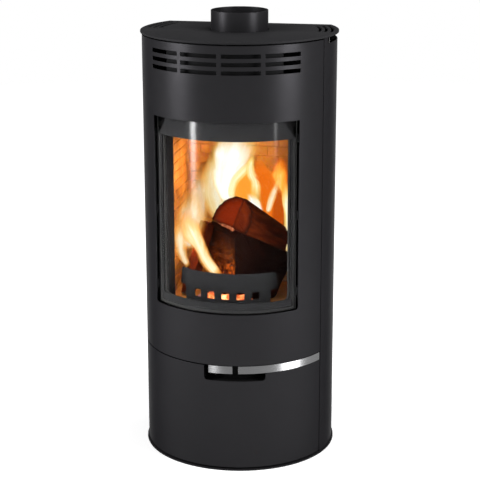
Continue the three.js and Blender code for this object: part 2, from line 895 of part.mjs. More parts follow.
// ---------------------------------------------------------------- fire room
function fireRoom() {
  const floorBottom = shelfTop + touch;
  const slab = meet(
    raise(dOutline(guardRadius - guardSheet - shelfGap, backBrickFront - touch), floorBottom, floorTop),
    box(
      shelfGap - wallInner,
      wallInner - shelfGap,
      -bodyRadius,
      bodyRadius,
      floorBottom - overcut,
      floorTop + overcut,
    ),
  );
  const grateHole = box(
    -grateHalfWidth - brickJoint,
    grateHalfWidth + brickJoint,
    grateFront - brickJoint,
    grateBack + brickJoint,
    floorBottom - overcut,
    floorTop + overcut,
  );
  add("floor_brick", cut(slab, grateHole), vermiculite);

  const sideBack = backBrickFront - brickJoint;
  const rightBrick = box(
    brickInner,
    brickOuter,
    brickFront,
    sideBack,
    floorTop + touch,
    bricksTop,
  );
  add("right_fire_brick", rightBrick, vermiculite);
  add("left_fire_brick", mirrored(rightBrick), vermiculite);
  add(
    "back_fire_brick",
    box(
      -brickInner - brickThickness,
      brickOuter,
      backBrickFront,
      backBrickFront + brickThickness,
      floorTop + touch,
      bricksTop,
    ),
    vermiculite,
  );

  const retainerWith = (lip) => {
    const tip = brickInner - lip + retainerSheet + retainerLean;
    const front = frontFrameAt(tip) + retainerGap;
    const back = brickFront - touch;
    const outline = [
      [brickInner - lip, back],
      [tip - retainerSheet, front],
      [tip, front],
      [tip - retainerLean / 2, back - retainerSheet],
      [brickOuter, back - retainerSheet],
      [brickOuter, back],
    ];
    return raise(outline, floorTop + touch, bricksTop);
  };
  const leftRetainer = indexed(retainerWith(leftRetainerLip));
  add("right_brick_retainer", retainerWith(rightRetainerLip), innerPaint);
  add("left_brick_retainer", mirrored(leftRetainer), innerPaint);

  const slots = [];
  for (let i = 0; i < grateSlots; i += 1) {
    const x = (i - (grateSlots - 1) / 2) * grateSlotPitch;
    slots.push(
      box(
        x - grateSlotWidth / 2,
        x + grateSlotWidth / 2,
        grateFront + grateLedge + grateRim,
        grateBack - grateLedge - grateRim,
        floorBottom - overcut,
        floorTop + overcut,
      ),
    );
  }
  add(
    "fire_grate",
    cut(
      box(
        -grateHalfWidth,
        grateHalfWidth,
        grateFront,
        grateBack,
        floorBottom,
        floorBottom + grateThickness,
      ),
      ...slots,
    ),
    castIron,
  );

  logGuard(floorTop + touch - floorBrickHeight);

  const baffleHalfWidth = brickInner + baffleRest;
  const baffle = box(-baffleHalfWidth, baffleHalfWidth, -baffleDepth, 0, 0, baffleThickness);
  baffle.rotateX(radians(-baffleTilt));
  const drop = baffleThickness * Math.sin(radians(baffleTilt));
  baffle.translate(0, wallBackFace() - touch - drop, bricksTop + touch);
  add("baffle_plate", baffle, vermiculite);
}

function wallBackFace() {
  return fireboxBack - fireboxSheet - touch;
}

function indexed(geometry) {
  return geometryOf(solid(geometry));
}

// The curved plate that keeps the logs off the glass: a wide band on a narrower foot with air holes.
function logGuard(bottom) {
  const inner = guardRadius - guardSheet;
  const top = floorTop + guardHeight;
  const bandBottom = top - guardBand;
  const holes = [];
  for (let i = 0; i < guardHoles; i += 1) {
    const middle = (i - (guardHoles - 1) / 2) * guardHolePitch;
    const holeTop = bandBottom - guardHoleDrop;
    holes.push(
      sector(
        inner - overcut,
        guardRadius + overcut,
        middle - guardHoleAngle / 2,
        middle + guardHoleAngle / 2,
        holeTop - guardHoleHeight,
        holeTop,
      ),
    );
  }
  add(
    "log_guard",
    cut(
      join(
        sector(inner, guardRadius, -guardBandHalfAngle, guardBandHalfAngle, bandBottom, top),
        sector(inner, guardRadius, -guardFootHalfAngle, guardFootHalfAngle, bottom, bandBottom + overlap),
      ),
      ...holes,
      ...[-1, 1].map((side) =>
        cornerFill(
          side * guardBandHalfAngle,
          top,
          -side,
          -1,
          guardCorner,
          inner - overcut,
          guardRadius + overcut,
        ),
      ),
    ),
    innerPaint,
  );
}

// ---------------------------------------------------------------- ash pan
function ashPan() {
  const bottom = hearthTop + touch;
  const top = bottom + panHeight;
  const gripTop = top - panGripBelowRim;
  const tray = cut(
    box(-panHalfWidth, panHalfWidth, panFront, panBack, bottom, top),
    box(
      -panHalfWidth + panSheet,
      panHalfWidth - panSheet,
      panFront + panSheet,
      panBack - panSheet,
      bottom + panSheet,
      top + overcut,
    ),
  );
  const grip = join(
    box(
      -panGripHalfWidth,
      panGripHalfWidth,
      panFront - panGripDepth,
      panFront + overlap,
      gripTop - panSheet,
      gripTop,
    ),
    box(
      -panGripHalfWidth,
      panGripHalfWidth,
      panFront - panGripDepth,
      panFront - panGripDepth + panSheet,
      gripTop - panGripDrop,
      gripTop,
    ),
  );
  add("ash_pan", join(tray, grip), zincPlate);
}

// ---------------------------------------------------------------- storage room and air room
function lowerRooms() {
  const ductFront = innerPlateBack - ductDepth;
  const panelInside = backDistance - shellSheet;
  const ductOpening = [
    -ductHalfWidth + intakeSheet,
    ductHalfWidth - intakeSheet,
    ductFront + intakeSheet,
    panelInside - ductBackGap - intakeSheet,
  ];
  add(
    "storage_ceiling",
    cut(
      raise(dOutline(innerPlateRadius, innerPlateBack), ceilingTop - ceilingSheet, ceilingTop),
      box(...ductOpening, ceilingTop - overcut, ceilingTop + overcut),
    ),
    innerPaint,
  );
  add(
    "air_duct",
    cut(
      box(
        -ductHalfWidth,
        ductHalfWidth,
        ductFront,
        panelInside - ductBackGap,
        ductBottom,
        ceilingTop - ceilingSheet - touch,
      ),
      box(...ductOpening, ductBottom + intakeSheet, ceilingTop + overcut),
      barAlongY(
        0,
        intakeHeight,
        intakeRadius + touch,
        panelInside - overcut,
        panelInside + overcut,
        spigotSides,
      ),
    ),
    zincPlate,
  );
  const spigot = raise(
    circle(0, 0, intakeRadius, spigotSides),
    panelInside - ductBackGap - intakeSheet,
    backDistance + intakeProud,
    [circle(0, 0, intakeRadius - intakeSheet, spigotSides)],
  );
  spigot.rotateX(-Math.PI / 2);
  spigot.translate(0, 0, intakeHeight);
  add("air_intake_spigot", spigot, zincPlate);

  const troughStart = pocketStart - troughMargin;
  const troughEnd = pocketEnd + troughMargin;
  const troughOuter = doorInner - doorSheet + slip;
  const troughInner = troughOuter - troughReach;
  const troughBottom = ceilingTop + touch;
  const troughTop = leverBottom - troughBelowLever;
  const wallAngle = degreesAlong(troughSheet, troughOuter);
  add(
    "finger_trough",
    cut(
      sector(troughInner, troughOuter, troughStart, troughEnd, troughBottom, troughTop),
      sector(
        troughInner + troughSheet,
        troughOuter + overcut,
        troughStart + wallAngle,
        troughEnd - wallAngle,
        troughBottom + troughSheet,
        troughTop + overcut,
      ),
    ),
    innerPaint,
  );
}

// ---------------------------------------------------------------- hinges and catches
const [hingeX, hingeY] = polar(hingeRadius, hingeAngle);

// One fixed bracket: two tabs that hold a pin, on a web that reaches to what carries it.
function hingeBracket(middle, webX) {
  const half = knuckleLength / 2 + slip;
  const tabs = [middle - half - tabThickness, middle + half].map((bottom) =>
    cut(
      join(
        post(hingeX, hingeY, tabRadius, bottom, bottom + tabThickness),
        box(hingeX, webX, hingeY - tabRadius, hingeY + tabRadius, bottom, bottom + tabThickness),
      ),
      post(
        hingeX,
        hingeY,
        pinRadius + pinClearance,
        bottom - overcut,
        bottom + tabThickness + overcut,
        rodSides,
      ),
    ),
  );
  const web = box(
    webX - tabThickness,
    webX,
    hingeY - tabRadius,
    hingeY + tabRadius,
    middle - half - tabThickness,
    middle + half + tabThickness,
  );
  return join(tabs[0], tabs[1], web);
}

function hingeRod(levels) {
  const half = knuckleLength / 2 + slip + tabThickness + rodProud;
  return post(hingeX, hingeY, pinRadius, levels[0] - half, levels[1] + half, rodSides);
}

// A door's part of the hinge: tubes round the rod, on a strip that lies against the inside of the door.
function hingeLeaf(levels) {
  const half = knuckleLength / 2;
  const outer = doorInner - touch;
  const inner = outer - leafThickness;
  const tubeStart = hingeAngle + degreesAlong(leafClear, outer);
  const leafEnd = hingeAngle + degreesAlong(leafLength, outer);
  const pieces = [sector(inner, outer, tubeStart, leafEnd, levels[0] - half, levels[1] + half)];
  for (const z of levels) {
    pieces.push(
      post(hingeX, hingeY, knuckleRadius, z - half, z + half),
      sector(inner, outer, hingeAngle, tubeStart + overlapAngle, z - half, z + half),
    );
  }
  const bore = post(
    hingeX,
    hingeY,
    pinRadius + pinClearance,
    levels[0] - half - overcut,
    levels[1] + half + overcut,
    rodSides,
  );
  return cut(join(...pieces), bore);
}

const fuelHingeLevels = [fuelDoorBottom + hingeAboveEdge, fuelDoorTop - fuelHingeBelowEdge];
const storageHingeLevels = [storageDoorBottom + hingeAboveEdge, storageDoorTop - storageHingeBelowEdge];

function hingesAndCatches() {
  const webX = -fireboxHalfWidth - touch;
  const hingePost = (levels, bottom, top) =>
    join(
      box(webX - tabThickness, webX, hingeY - tabRadius, hingeY + tabRadius, bottom, top),
      ...levels.map((z) => hingeBracket(z, webX)),
    );
  const bracketHalf = knuckleLength / 2 + slip + tabThickness;
  add(
    "fuel_door_hinge_post",
    hingePost(fuelHingeLevels, fuelHingeLevels[0] - bracketHalf, fuelHingeLevels[1] + bracketHalf),
    innerPaint,
  );
  add("fuel_door_hinge_rod", hingeRod(fuelHingeLevels), zincPlate);
  add(
    "storage_door_hinge_post",
    hingePost(storageHingeLevels, basePlateThickness + touch, ceilingTop - ceilingSheet - touch),
    innerPaint,
  );
  add("storage_door_hinge_rod", hingeRod(storageHingeLevels), zincPlate);

  const keeperMiddle = fuelDoorBottom + clawMiddle;
  const keeperEnd = postStart - degreesAlong(touch, rollerCentre);
  const rollerReach = degreesAlong(rollerRadius, rollerCentre);
  const keeperTabs = [keeperMiddle - keeperGap - keeperTab, keeperMiddle + keeperGap].map((z) =>
    sector(
      rollerCentre - rollerRadius,
      rollerCentre + rollerRadius,
      rollerAngle - rollerReach / 2,
      keeperEnd,
      z,
      z + keeperTab,
    ),
  );
  const [rollerX, rollerY] = polar(rollerCentre, rollerAngle);
  add(
    "latch_keeper",
    join(
      ...keeperTabs,
      post(
        rollerX,
        rollerY,
        rollerRadius,
        keeperMiddle - keeperGap - keeperTab,
        keeperMiddle + keeperGap + keeperTab,
      ),
      sector(
        rollerCentre - keeperPlateHalf,
        rollerCentre + keeperPlateHalf,
        keeperEnd - degreesAlong(keeperTab, rollerCentre),
        keeperEnd,
        keeperMiddle - keeperGap - keeperTab,
        keeperMiddle + keeperGap + keeperTab,
      ),
    ),
    zincPlate,
  );

  const magnetOuter = doorInner - slip;
  const magnetInner = magnetOuter - magnetDepth;
  const magnetBottom = magnetMiddle - magnetHeight / 2;
  const magnetTop = magnetMiddle + magnetHeight / 2;
  add(
    "storage_door_magnet",
    join(
      sector(
        magnetInner,
        magnetOuter,
        magnetAngle - magnetWidthAngle / 2,
        magnetAngle + magnetWidthAngle / 2,
        magnetBottom,
        magnetTop,
      ),
      sector(
        magnetInner - magnetBracket,
        magnetInner + overlap,
        magnetAngle - magnetWidthAngle / 2,
        postStart - degreesAlong(touch, magnetInner),
        magnetBottom,
        magnetTop,
      ),
    ),
    castIron,
  );
}

// ---------------------------------------------------------------- fuel door
function fuelDoor() {
  const cutters = [
    sector(
      doorInner - overcut,
      bodyRadius + overcut,
      -windowHalfAngle,
      windowHalfAngle,
      windowBottom,
      windowTop,
    ),
  ];
  const groupPitch = louvreGroupAngle + louvreGroupGap;
  for (let row = 0; row < louvreRows; row += 1) {
    for (let group = 0; group < louvreGroups; group += 1) {
      const middle = (group - (louvreGroups - 1) / 2) * groupPitch;
      const z = fuelDoorTop - louvreFromTop - row * louvrePitch;
      cutters.push(
        sector(
          doorInner - overcut,
          bodyRadius + overcut,
          middle - louvreGroupAngle / 2,
          middle + louvreGroupAngle / 2,
          z - louvreHeight / 2,
          z + louvreHeight / 2,
        ),
      );
    }
  }
  const fills = [-1, 1].map((side) =>
    cornerFill(side * windowHalfAngle, windowBottom, -side, 1, windowCorner, doorInner, bodyRadius),
  );
  const sheet = sector(doorInner, bodyRadius, -doorHalfAngle, doorHalfAngle, fuelDoorBottom, fuelDoorTop);
  add("fuel_door_skin", join(cut(sheet, ...cutters), ...fills), casingPaint);
  add("fuel_door_hinge_leaf", hingeLeaf(fuelHingeLevels), innerPaint);

  doorGlass();

  const [shaftX, shaftY] = polar(shaftCentre, shaftAngle);
  const bearings = bearingLevels.map((level) => {
    const bottom = fuelDoorBottom + level;
    return cut(
      sector(
        shaftCentre - shaftRadius - bearingWall,
        doorInner - touch,
        shaftAngle - bearingHalfAngle,
        shaftAngle + bearingHalfAngle,
        bottom,
        bottom + bearingHeight,
      ),
      post(
        shaftX,
        shaftY,
        shaftRadius + shaftClearance,
        bottom - overcut,
        bottom + bearingHeight + overcut,
      ),
    );
  });
  const railOuter = doorInner - touch;
  const rail = sector(
    railOuter - railThickness,
    railOuter,
    shaftAngle - bearingHalfAngle,
    shaftAngle + bearingHalfAngle,
    fuelDoorBottom + bearingLevels[0],
    fuelDoorBottom + bearingLevels.at(-1) + bearingHeight,
  );
  add("latch_shaft_bearings", join(rail, ...bearings), innerPaint);
}

// The strip below the fuel door, which turns the latch shaft when its free end is pulled.
function doorHandle() {
  const [shaftX, shaftY] = polar(shaftCentre, shaftAngle);
  const shaftBottom = barBottom + armInset;
  add("handle_bar", sector(barInner, barOuter, barStart, barEnd, barBottom, barTop), stainless);
  add(
    "handle_arm",
    cut(
      sector(
        shaftCentre - shaftRadius - armWall,
        barInner - touch,
        shaftAngle - armHalfAngle,
        shaftAngle + armHalfAngle,
        shaftBottom,
        barTop - armInset,
      ),
      post(shaftX, shaftY, shaftRadius + touch, shaftBottom - overcut, barTop),
    ),
    innerPaint,
  );
  const clawBottom = fuelDoorBottom + clawMiddle - clawThickness / 2;
  add(
    "latch_shaft",
    join(
      post(shaftX, shaftY, shaftRadius, shaftBottom, fuelDoorBottom + shaftTop),
      sector(
        clawInner,
        clawOuter,
        shaftAngle,
        shaftAngle + clawAngle,
        clawBottom,
        clawBottom + clawThickness,
      ),
    ),
    zincPlate,
  );
}

function doorGlass() {
  const half = windowHalfAngle - glassSideGap;
  const bottom = windowBottom + glassSillGap;
  const top = windowTop + glassSillGap;
  add("door_glass", sector(glassInner, glassOuter, -half, half, bottom, top), ceramicGlass);

  const inside = half - glassFrameStile;
  const frame = cut(
    sector(glassFrameInner, glassFrameOuter, -half, half, bottom, top),
    sector(
      glassFrameInner - overcut,
      glassFrameOuter + overcut,
      -inside,
      inside,
      bottom + glassFrameSill,
      top - glassFrameHead,
    ),
    ...[-1, 1].map((side) =>
      bent(
        [
          [side * (half - glassFrameChamferAngle), top + overlap],
          [side * (half + overlapAngle), top + overlap],
          [side * (half + overlapAngle), top - glassFrameChamferHeight],
          [side * half, top - glassFrameChamferHeight],
        ],
        glassFrameInner - overcut,
        glassFrameOuter + overcut,
      ),
    ),
  );
  add("glass_frame", frame, innerPaint);

  const tapeInner = glassFrameOuter + touch;
  const tapeOuter = tapeInner + tapeThickness;
  const tapeAngle = degreesAlong(tapeWidth, tapeOuter);
  const tapeTop = top - glassFrameChamferHeight - touch;
  add(
    "glass_sealing_tape",
    cut(
      sector(tapeInner, tapeOuter, -half, half, bottom, tapeTop),
      sector(
        tapeInner - overcut,
        tapeOuter + overcut,
        -half + tapeAngle,
        half - tapeAngle,
        bottom + tapeWidth,
        tapeTop + overcut,
      ),
    ),
    glassRope,
  );

  // A clamp on each side: a strip against the inside of the door, with claws over the glass's edge.
  const clampStart = half + glassSideGap + clampClear;
  const clampOuter = doorInner - touch;
  const clampTop = windowBottom + clipHeights.at(-1) + clipHeight / 2;
  const rightClamp = join(
    sector(
      clampOuter - clampThickness,
      clampOuter,
      clampStart,
      clampStart + clampAngle,
      windowBottom + clipHeights[0] - clipHeight / 2,
      clampTop,
    ),
    ...clipHeights.map((height) =>
      sector(
        glassFrameInner,
        clampOuter,
        half + clipGap,
        clampStart + overlapAngle,
        windowBottom + height - clipHeight / 2,
        windowBottom + height + clipHeight / 2,
      ),
    ),
  );
  add("right_glass_clamp", rightClamp, zincPlate);
  add("left_glass_clamp", mirrored(rightClamp), zincPlate);

  const sealHalf = inside + degreesAlong(sealWidth - sealOverFrame, sealOuter);
  const sealAngle = degreesAlong(sealWidth, sealOuter);
  const sealBottom = bottom + glassFrameSill - sealWidth;
  const sealTop = top - glassFrameHead + sealWidth;
  add(
    "fuel_door_rope_seal",
    cut(
      sector(sealInner, sealOuter, -sealHalf, sealHalf, sealBottom, sealTop),
      sector(
        sealInner - overcut,
        sealOuter + overcut,
        -sealHalf + sealAngle,
        sealHalf - sealAngle,
        sealBottom + sealWidth,
        sealTop - sealWidth,
      ),
    ),
    glassRope,
  );
}

// ---------------------------------------------------------------- storage door
function storageDoor() {
  const barCutBottom = barBottom - barCutGap;
  const cutters = [
    sector(
      doorInner - overcut,
      bodyRadius + overcut,
      pocketStart,
      pocketEnd,
      pocketBottom,
      storageDoorTop + overcut,
    ),
    sector(
      doorInner - overcut,
      bodyRadius + overcut,
      pocketEnd - overlapAngle,
      doorHalfAngle + overlapAngle,
      barCutBottom,
      storageDoorTop + overcut,
    ),
  ];
  const fills = [
    cornerFill(pocketStart, pocketBottom, 1, 1, pocketCorner, doorInner, bodyRadius),
    cornerFill(pocketEnd, pocketBottom, -1, 1, pocketCorner, doorInner, bodyRadius),
  ];
  const sheet = sector(
    doorInner,
    bodyRadius,
    -doorHalfAngle,
    doorHalfAngle,
    storageDoorBottom,
    storageDoorTop,
  );
  add("storage_door_skin", join(cut(sheet, ...cutters), ...fills), casingPaint);
  add("storage_door_hinge_leaf", hingeLeaf(storageHingeLevels), innerPaint);
}

// ---------------------------------------------------------------- air control
function airControl() {
  add("air_knob", sector(barInner, barOuter, -knobHalfAngle, knobHalfAngle, barBottom, barTop), stainless);

  const hub = post(0, 0, leverHubRadius, leverBottom, leverTop, 24);
  const bar = box(
    -leverHalfWidth,
    leverHalfWidth,
    -knobTabInner - overlap,
    -boltRadius,
    leverBottom,
    leverTop,
  );
  const tab = sector(
    knobTabInner,
    knobTabOuter,
    -knobTabHalfAngle,
    knobTabHalfAngle,
    barBottom + knobTabInset,
    leverTop,
  );
  const riser = box(
    -leverHalfWidth,
    leverHalfWidth,
    riserInset - damperOuter,
    -damperInner - riserInset,
    leverTop - overlap,
    damperBottom - touch,
  );
  const lever = cut(
    join(
      hub,
      meet(
        bar,
        post(0, 0, knobTabInner + overlap, leverBottom - overcut, leverTop + overcut, leverEndSides),
      ),
      tab,
      riser,
    ),
    post(0, 0, boltRadius + boltClearance, leverBottom - overcut, leverTop + overcut),
  );
  add("air_lever", lever, zincPlate);

  const ports = [];
  for (let i = 0; i < portCount; i += 1) {
    const middle = (i - (portCount - 1) / 2) * portPitch;
    ports.push(
      sector(
        portInner,
        portOuter,
        middle - portAngle / 2,
        middle + portAngle / 2,
        damperBottom - overcut,
        damperTop + overcut,
      ),
    );
  }
  add(
    "air_damper",
    cut(
      sector(damperInner, damperOuter, -damperHalfAngle, damperHalfAngle, damperBottom, damperTop),
      ...ports,
    ),
    zincPlate,
  );

  add(
    "air_lever_pivot_bolt",
    join(
      post(0, 0, boltRadius, leverBottom - slip - overlap, hearthTop),
      post(0, 0, boltHeadRadius, leverBottom - slip - boltHeadHeight, leverBottom - slip, 6),
    ),
    zincPlate,
  );
}

// ---------------------------------------------------------------- firewood
// A split log about the middle of its underside. Its section is drawn across, in shares of its width and
// height. Its near end may be sawn slanting, and its far end may be lower than the near one.
function splitLog(section, [width, height, length], heading, lean = 0, sawn = 0, taper = 1) {
  const outline = section.map(([sideways, up]) => [sideways * width, up * height]);
  const log = raise(outline, -length / 2, length / 2);
  const place = log.getAttribute("position");
  for (let i = 0; i < place.count; i += 1) {
    const [sideways, up, along] = [place.getX(i), place.getY(i), place.getZ(i)];
    const near = along < 0;
    const shift = near ? Math.tan(radians(sawn)) * sideways : 0;
    place.setXYZ(i, along + shift, sideways, near ? up : up * taper);
  }
  log.rotateY(radians(lean));
  log.rotateZ(radians(heading));
  return log;
}

// Lets a log down at a place until its lowest point is on a level.
function laidDown(log, [x, y], level) {
  log.computeBoundingBox();
  log.translate(x, y, level - log.boundingBox.min.z);
  return log;
}

function firewoodLoad() {
  const bed = floorTop + touch;
  const [lowerWidth, lowerHeight] = lowerLogSize;
  const slope = Math.tan(radians(slopeAngle));
  const slopeFoot = 1 - (slope * lowerWidth) / lowerHeight;
  const slopeHead = 1 - (1 - slopeFoot) / 10;
  const wedgeSection = [
    [-0.4, 0], [0.22, 0], [0.5, 0.44], [0.5, slopeFoot], [-0.4, slopeHead], [-0.5, 0.9], [-0.5, 0.06],
  ];
  const halfSection = [
    [-0.5, 0.02], [-0.46, 0], [0.46, 0], [0.5, 0.04], [0.48, 0.35], [0.36, 0.72], [0.12, 0.96],
    [-0.14, 1], [-0.38, 0.78], [-0.5, 0.4],
  ];
  const slimSection = [
    [-0.5, 0], [0.5, 0], [0.5, 0.6], [0, 1], [-0.5, 0.6],
  ];
  const lower = splitLog(wedgeSection, lowerLogSize, upperLogHeading - halfTurn / 2);
  add("lower_log", laidDown(lower, lowerLogPlace, bed), firewood);

  const [east, north] = upperLogPlace.map((value, i) => value - lowerLogPlace[i]);
  const heading = radians(upperLogHeading);
  const downhill = east * Math.cos(heading) + north * Math.sin(heading) + lowerWidth / 2;
  const rest = bed + lowerHeight - slope * downhill + logGap / Math.cos(radians(slopeAngle));
  const upper = splitLog(
    halfSection, upperLogSize, upperLogHeading, slopeAngle, -upperLogCut, upperLogTaper,
  );
  upper.translate(...upperLogPlace, rest);
  add("upper_log", upper, firewood);

  const small = splitLog(slimSection, smallLogSize, smallLogHeading, smallLogLean);
  const smallPlace = [smallLogFromBrick - brickInner, smallLogMiddle];
  add("small_log", laidDown(small, smallPlace, bed), firewood);
}

casing();
flue();
firebox();
fireRoom();
ashPan();
lowerRooms();
hingesAndCatches();
fuelDoor();
doorHandle();
storageDoor();
airControl();
firewoodLoad();

export default stove;
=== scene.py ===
"""A free-standing round wood stove with a flat back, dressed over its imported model.

Metres, +Z up. The row axis Z is the axis of the round casing, and the stove faces -Y. Angles are
measured round Z from the front towards +X, in degrees.
"""
import json
import math

import bmesh
import bpy
from mathutils import Matrix, Vector, noise

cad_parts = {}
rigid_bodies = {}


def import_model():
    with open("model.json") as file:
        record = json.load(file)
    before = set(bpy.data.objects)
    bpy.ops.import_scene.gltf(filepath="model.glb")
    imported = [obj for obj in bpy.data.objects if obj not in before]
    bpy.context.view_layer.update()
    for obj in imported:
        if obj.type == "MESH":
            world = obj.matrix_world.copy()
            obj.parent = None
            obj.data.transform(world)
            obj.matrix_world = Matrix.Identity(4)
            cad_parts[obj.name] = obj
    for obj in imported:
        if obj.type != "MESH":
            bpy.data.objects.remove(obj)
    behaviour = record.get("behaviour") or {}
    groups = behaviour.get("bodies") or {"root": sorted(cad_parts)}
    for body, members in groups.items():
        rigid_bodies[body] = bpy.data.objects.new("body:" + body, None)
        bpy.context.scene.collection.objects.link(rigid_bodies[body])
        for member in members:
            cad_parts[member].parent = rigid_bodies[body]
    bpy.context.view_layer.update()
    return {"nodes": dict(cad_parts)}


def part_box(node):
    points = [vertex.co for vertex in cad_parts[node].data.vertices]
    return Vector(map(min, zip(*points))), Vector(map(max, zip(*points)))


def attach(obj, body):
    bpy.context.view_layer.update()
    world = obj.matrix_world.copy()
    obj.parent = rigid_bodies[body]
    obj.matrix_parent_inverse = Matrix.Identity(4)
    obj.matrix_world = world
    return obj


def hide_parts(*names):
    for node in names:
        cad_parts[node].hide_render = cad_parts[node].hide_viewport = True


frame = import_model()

MM = 0.001


def low(node):
    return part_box(node)[0]


def high(node):
    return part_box(node)[1]


# ---------------------------------------------------------------- sizes, from the frame where it has them
BODY = -low("fuel_door_skin").y
DOOR_SHEET = 3 * MM
SHELL_SHEET = 2.5 * MM
DOOR_INNER = BODY - DOOR_SHEET
BACK = high("back_panel").y
DOOR_HALF = 68.2
SHELL_START = 68.81
WINDOW_HALF = 48
WINDOW_LOW = low("fuel_door_skin").z + 138 * MM
WINDOW_HIGH = WINDOW_LOW + 500 * MM
GLASS_OUTER = -low("door_glass").y
GLASS_HALF = 47.5
FRAME_OUTER = -low("glass_frame").y
FRAME_INNER = FRAME_OUTER - 3.5 * MM
FRONT_OUTER = -low("firebox_front_frame").y
FRONT_INNER = FRONT_OUTER - 3 * MM
GUARD_OUTER = -low("log_guard").y
COLLAR = 75 * MM
BAR_OUTER = BODY + 1 * MM
BAR_INNER = BAR_OUTER - 4 * MM
BAR_LOW = low("handle_bar").z
BAR_HIGH = high("handle_bar").z
FLOOR_TOP = high("floor_brick").z
TOUCH = 0.3 * MM  # gap between pieces that touch
EDGE = 0.7 * MM  # how far edges are eased
CRACK = -10 * MM  # of the logs' ends, from their middle
SHEET_STEP = 1.5  # degrees in one flat of a round sheet
EASED = math.radians(40)  # sharper edges than this are eased
SHARP = math.radians(38)  # sharper edges than this stay sharp in the shading
ROUND = 0.985  # how squarely a face points from or to the axis to be shaded as round


# ---------------------------------------------------------------- drawing and bending
def polar(radius, degrees, z=0.0):
    a = math.radians(degrees)
    return Vector((radius * math.sin(a), -radius * math.cos(a), z))


def arc(radius, start, end, step=SHEET_STEP):
    count = max(2, math.ceil(abs(end - start) / step))
    return [polar(radius, start + (end - start) * i / count).xy for i in range(count + 1)]


def rounded(corners, steps=5):
    """A closed outline through corners (x, y, fillet radius)."""
    points = []
    for i, (x, y, radius) in enumerate(corners):
        corner = Vector((x, y))
        if radius == 0:
            points.append(corner)
            continue
        before = (Vector(corners[i - 1][:2]) - corner).normalized()
        after = (Vector(corners[(i + 1) % len(corners)][:2]) - corner).normalized()
        half = before.angle(after) / 2
        centre = corner + (before + after).normalized() * (radius / math.sin(half))
        first = corner + before * (radius / math.tan(half)) - centre
        turn = math.pi - 2 * half
        if first.y * before.x - first.x * before.y < 0:
            turn = -turn
        points += [centre + Matrix.Rotation(turn * k / steps, 2) @ first for k in range(steps + 1)]
    return points


def rectangle(x0, x1, y0, y1, corner=0.0):
    return rounded([(x0, y0, corner), (x1, y0, corner), (x1, y1, corner), (x0, y1, corner)])


def new_object(name, mesh):
    obj = bpy.data.objects.new(name, mesh)
    bpy.context.scene.collection.objects.link(obj)
    return obj


def mesh_object(name, bm, materials=()):
    mesh = bpy.data.meshes.new(name)
    bm.to_mesh(mesh)
    bm.free()
    for material in materials:
        mesh.materials.append(material)
    return new_object(name, mesh)


def sheet_body(outline, holes, cuts_x, depth, place):
    """A flat drawing with holes, cut at some lines so that it can bend, made into a closed sheet.
    place(x, y, depth) puts a point of the drawing in space."""
    bm = bmesh.new()
    edges = []
    for loop in [outline, *holes]:
        verts = [bm.verts.new((p[0], p[1], 0)) for p in loop]
        edges += [bm.edges.new((a, verts[i - 1])) for i, a in enumerate(verts)]
    bmesh.ops.triangle_fill(bm, use_beauty=True, use_dissolve=False, edges=edges)
    for x in cuts_x:
        parts = bm.verts[:] + bm.edges[:] + bm.faces[:]
        bmesh.ops.bisect_plane(bm, geom=parts, dist=0.0004, plane_co=(x, 0, 0), plane_no=(1, 0, 0))
    front, rim = list(bm.faces), [e for e in bm.edges if e.is_boundary]
    behind = {v: bm.verts.new((v.co.x, v.co.y, depth)) for v in list(bm.verts)}
    for face in front:
        bm.faces.new([behind[v] for v in reversed(face.verts)])
    for edge in rim:
        a, b = edge.verts
        bm.faces.new((a, b, behind[b], behind[a]))
    for v in bm.verts:
        v.co = place(*v.co)
    bmesh.ops.recalc_face_normals(bm, faces=bm.faces)
    return bm


def finished(obj, edge=EDGE, round_sides=True):
    """Eases the edges, and shades round sheets as true cylinders about the stove's axis."""
    if edge:
        bevel = obj.modifiers.new("eased edges", "BEVEL")
        bevel.width, bevel.segments = edge, 2
        bevel.limit_method, bevel.angle_limit = "ANGLE", EASED
        bevel.use_clamp_overlap = False
        shown = obj.evaluated_get(bpy.context.evaluated_depsgraph_get())
        mesh = bpy.data.meshes.new_from_object(shown)
        obj.modifiers.clear()
        obj.data = mesh
    mesh = obj.data
    mesh.shade_smooth()
    mesh.set_sharp_from_angle(angle=SHARP)
    if round_sides:
        normals = [Vector((0, 0, 0))] * len(mesh.loops)
        for face in mesh.polygons:
            radial = Vector((face.center.x, face.center.y, 0)).normalized()
            side = face.normal.dot(radial)
            if abs(side) < ROUND:
                continue
            for corner in face.loop_indices:
                co = mesh.vertices[mesh.loops[corner].vertex_index].co
                normals[corner] = math.copysign(1, side) * Vector((co.x, co.y, 0)).normalized()
        mesh.normals_split_custom_set(normals)
    return obj


def bent_sheet(name, outer, inner, outline, holes, material, edge=EDGE):
    """A sheet drawn flat, x along the outer radius, and bent round the stove's axis."""
    def place(x, y, depth):
        a = x / outer
        radius = outer - depth
        return Vector((radius * math.sin(a), -radius * math.cos(a), y))

    step = outer * math.radians(SHEET_STEP)
    xs = [p[0] for p in outline]
    first, last = math.ceil(min(xs) / step), math.floor(max(xs) / step)
    bm = sheet_body(outline, holes, [k * step for k in range(first, last + 1)], outer - inner, place)
    return finished(mesh_object(name, bm, [material]), edge)


def bent_panel(name, outer, inner, start, end, bottom, top, material, holes=(), edge=EDGE):
    """A plain bent sheet between two angles and two levels."""
    outline = opening(outer, start, end, bottom, top)
    return bent_sheet(name, outer, inner, outline, holes, material, edge)


def along(radius, degrees):
    return radius * math.radians(degrees)


def opening(radius, start, end, bottom, top, corner=0.0):
    return rectangle(along(radius, start), along(radius, end), bottom, top, corner)


def plate(name, outline, holes, bottom, top, material, edge=EDGE):
    bm = sheet_body(outline, holes, [], top - bottom, lambda x, y, d: Vector((x, y, bottom + d)))
    return finished(mesh_object(name, bm, [material]), edge)


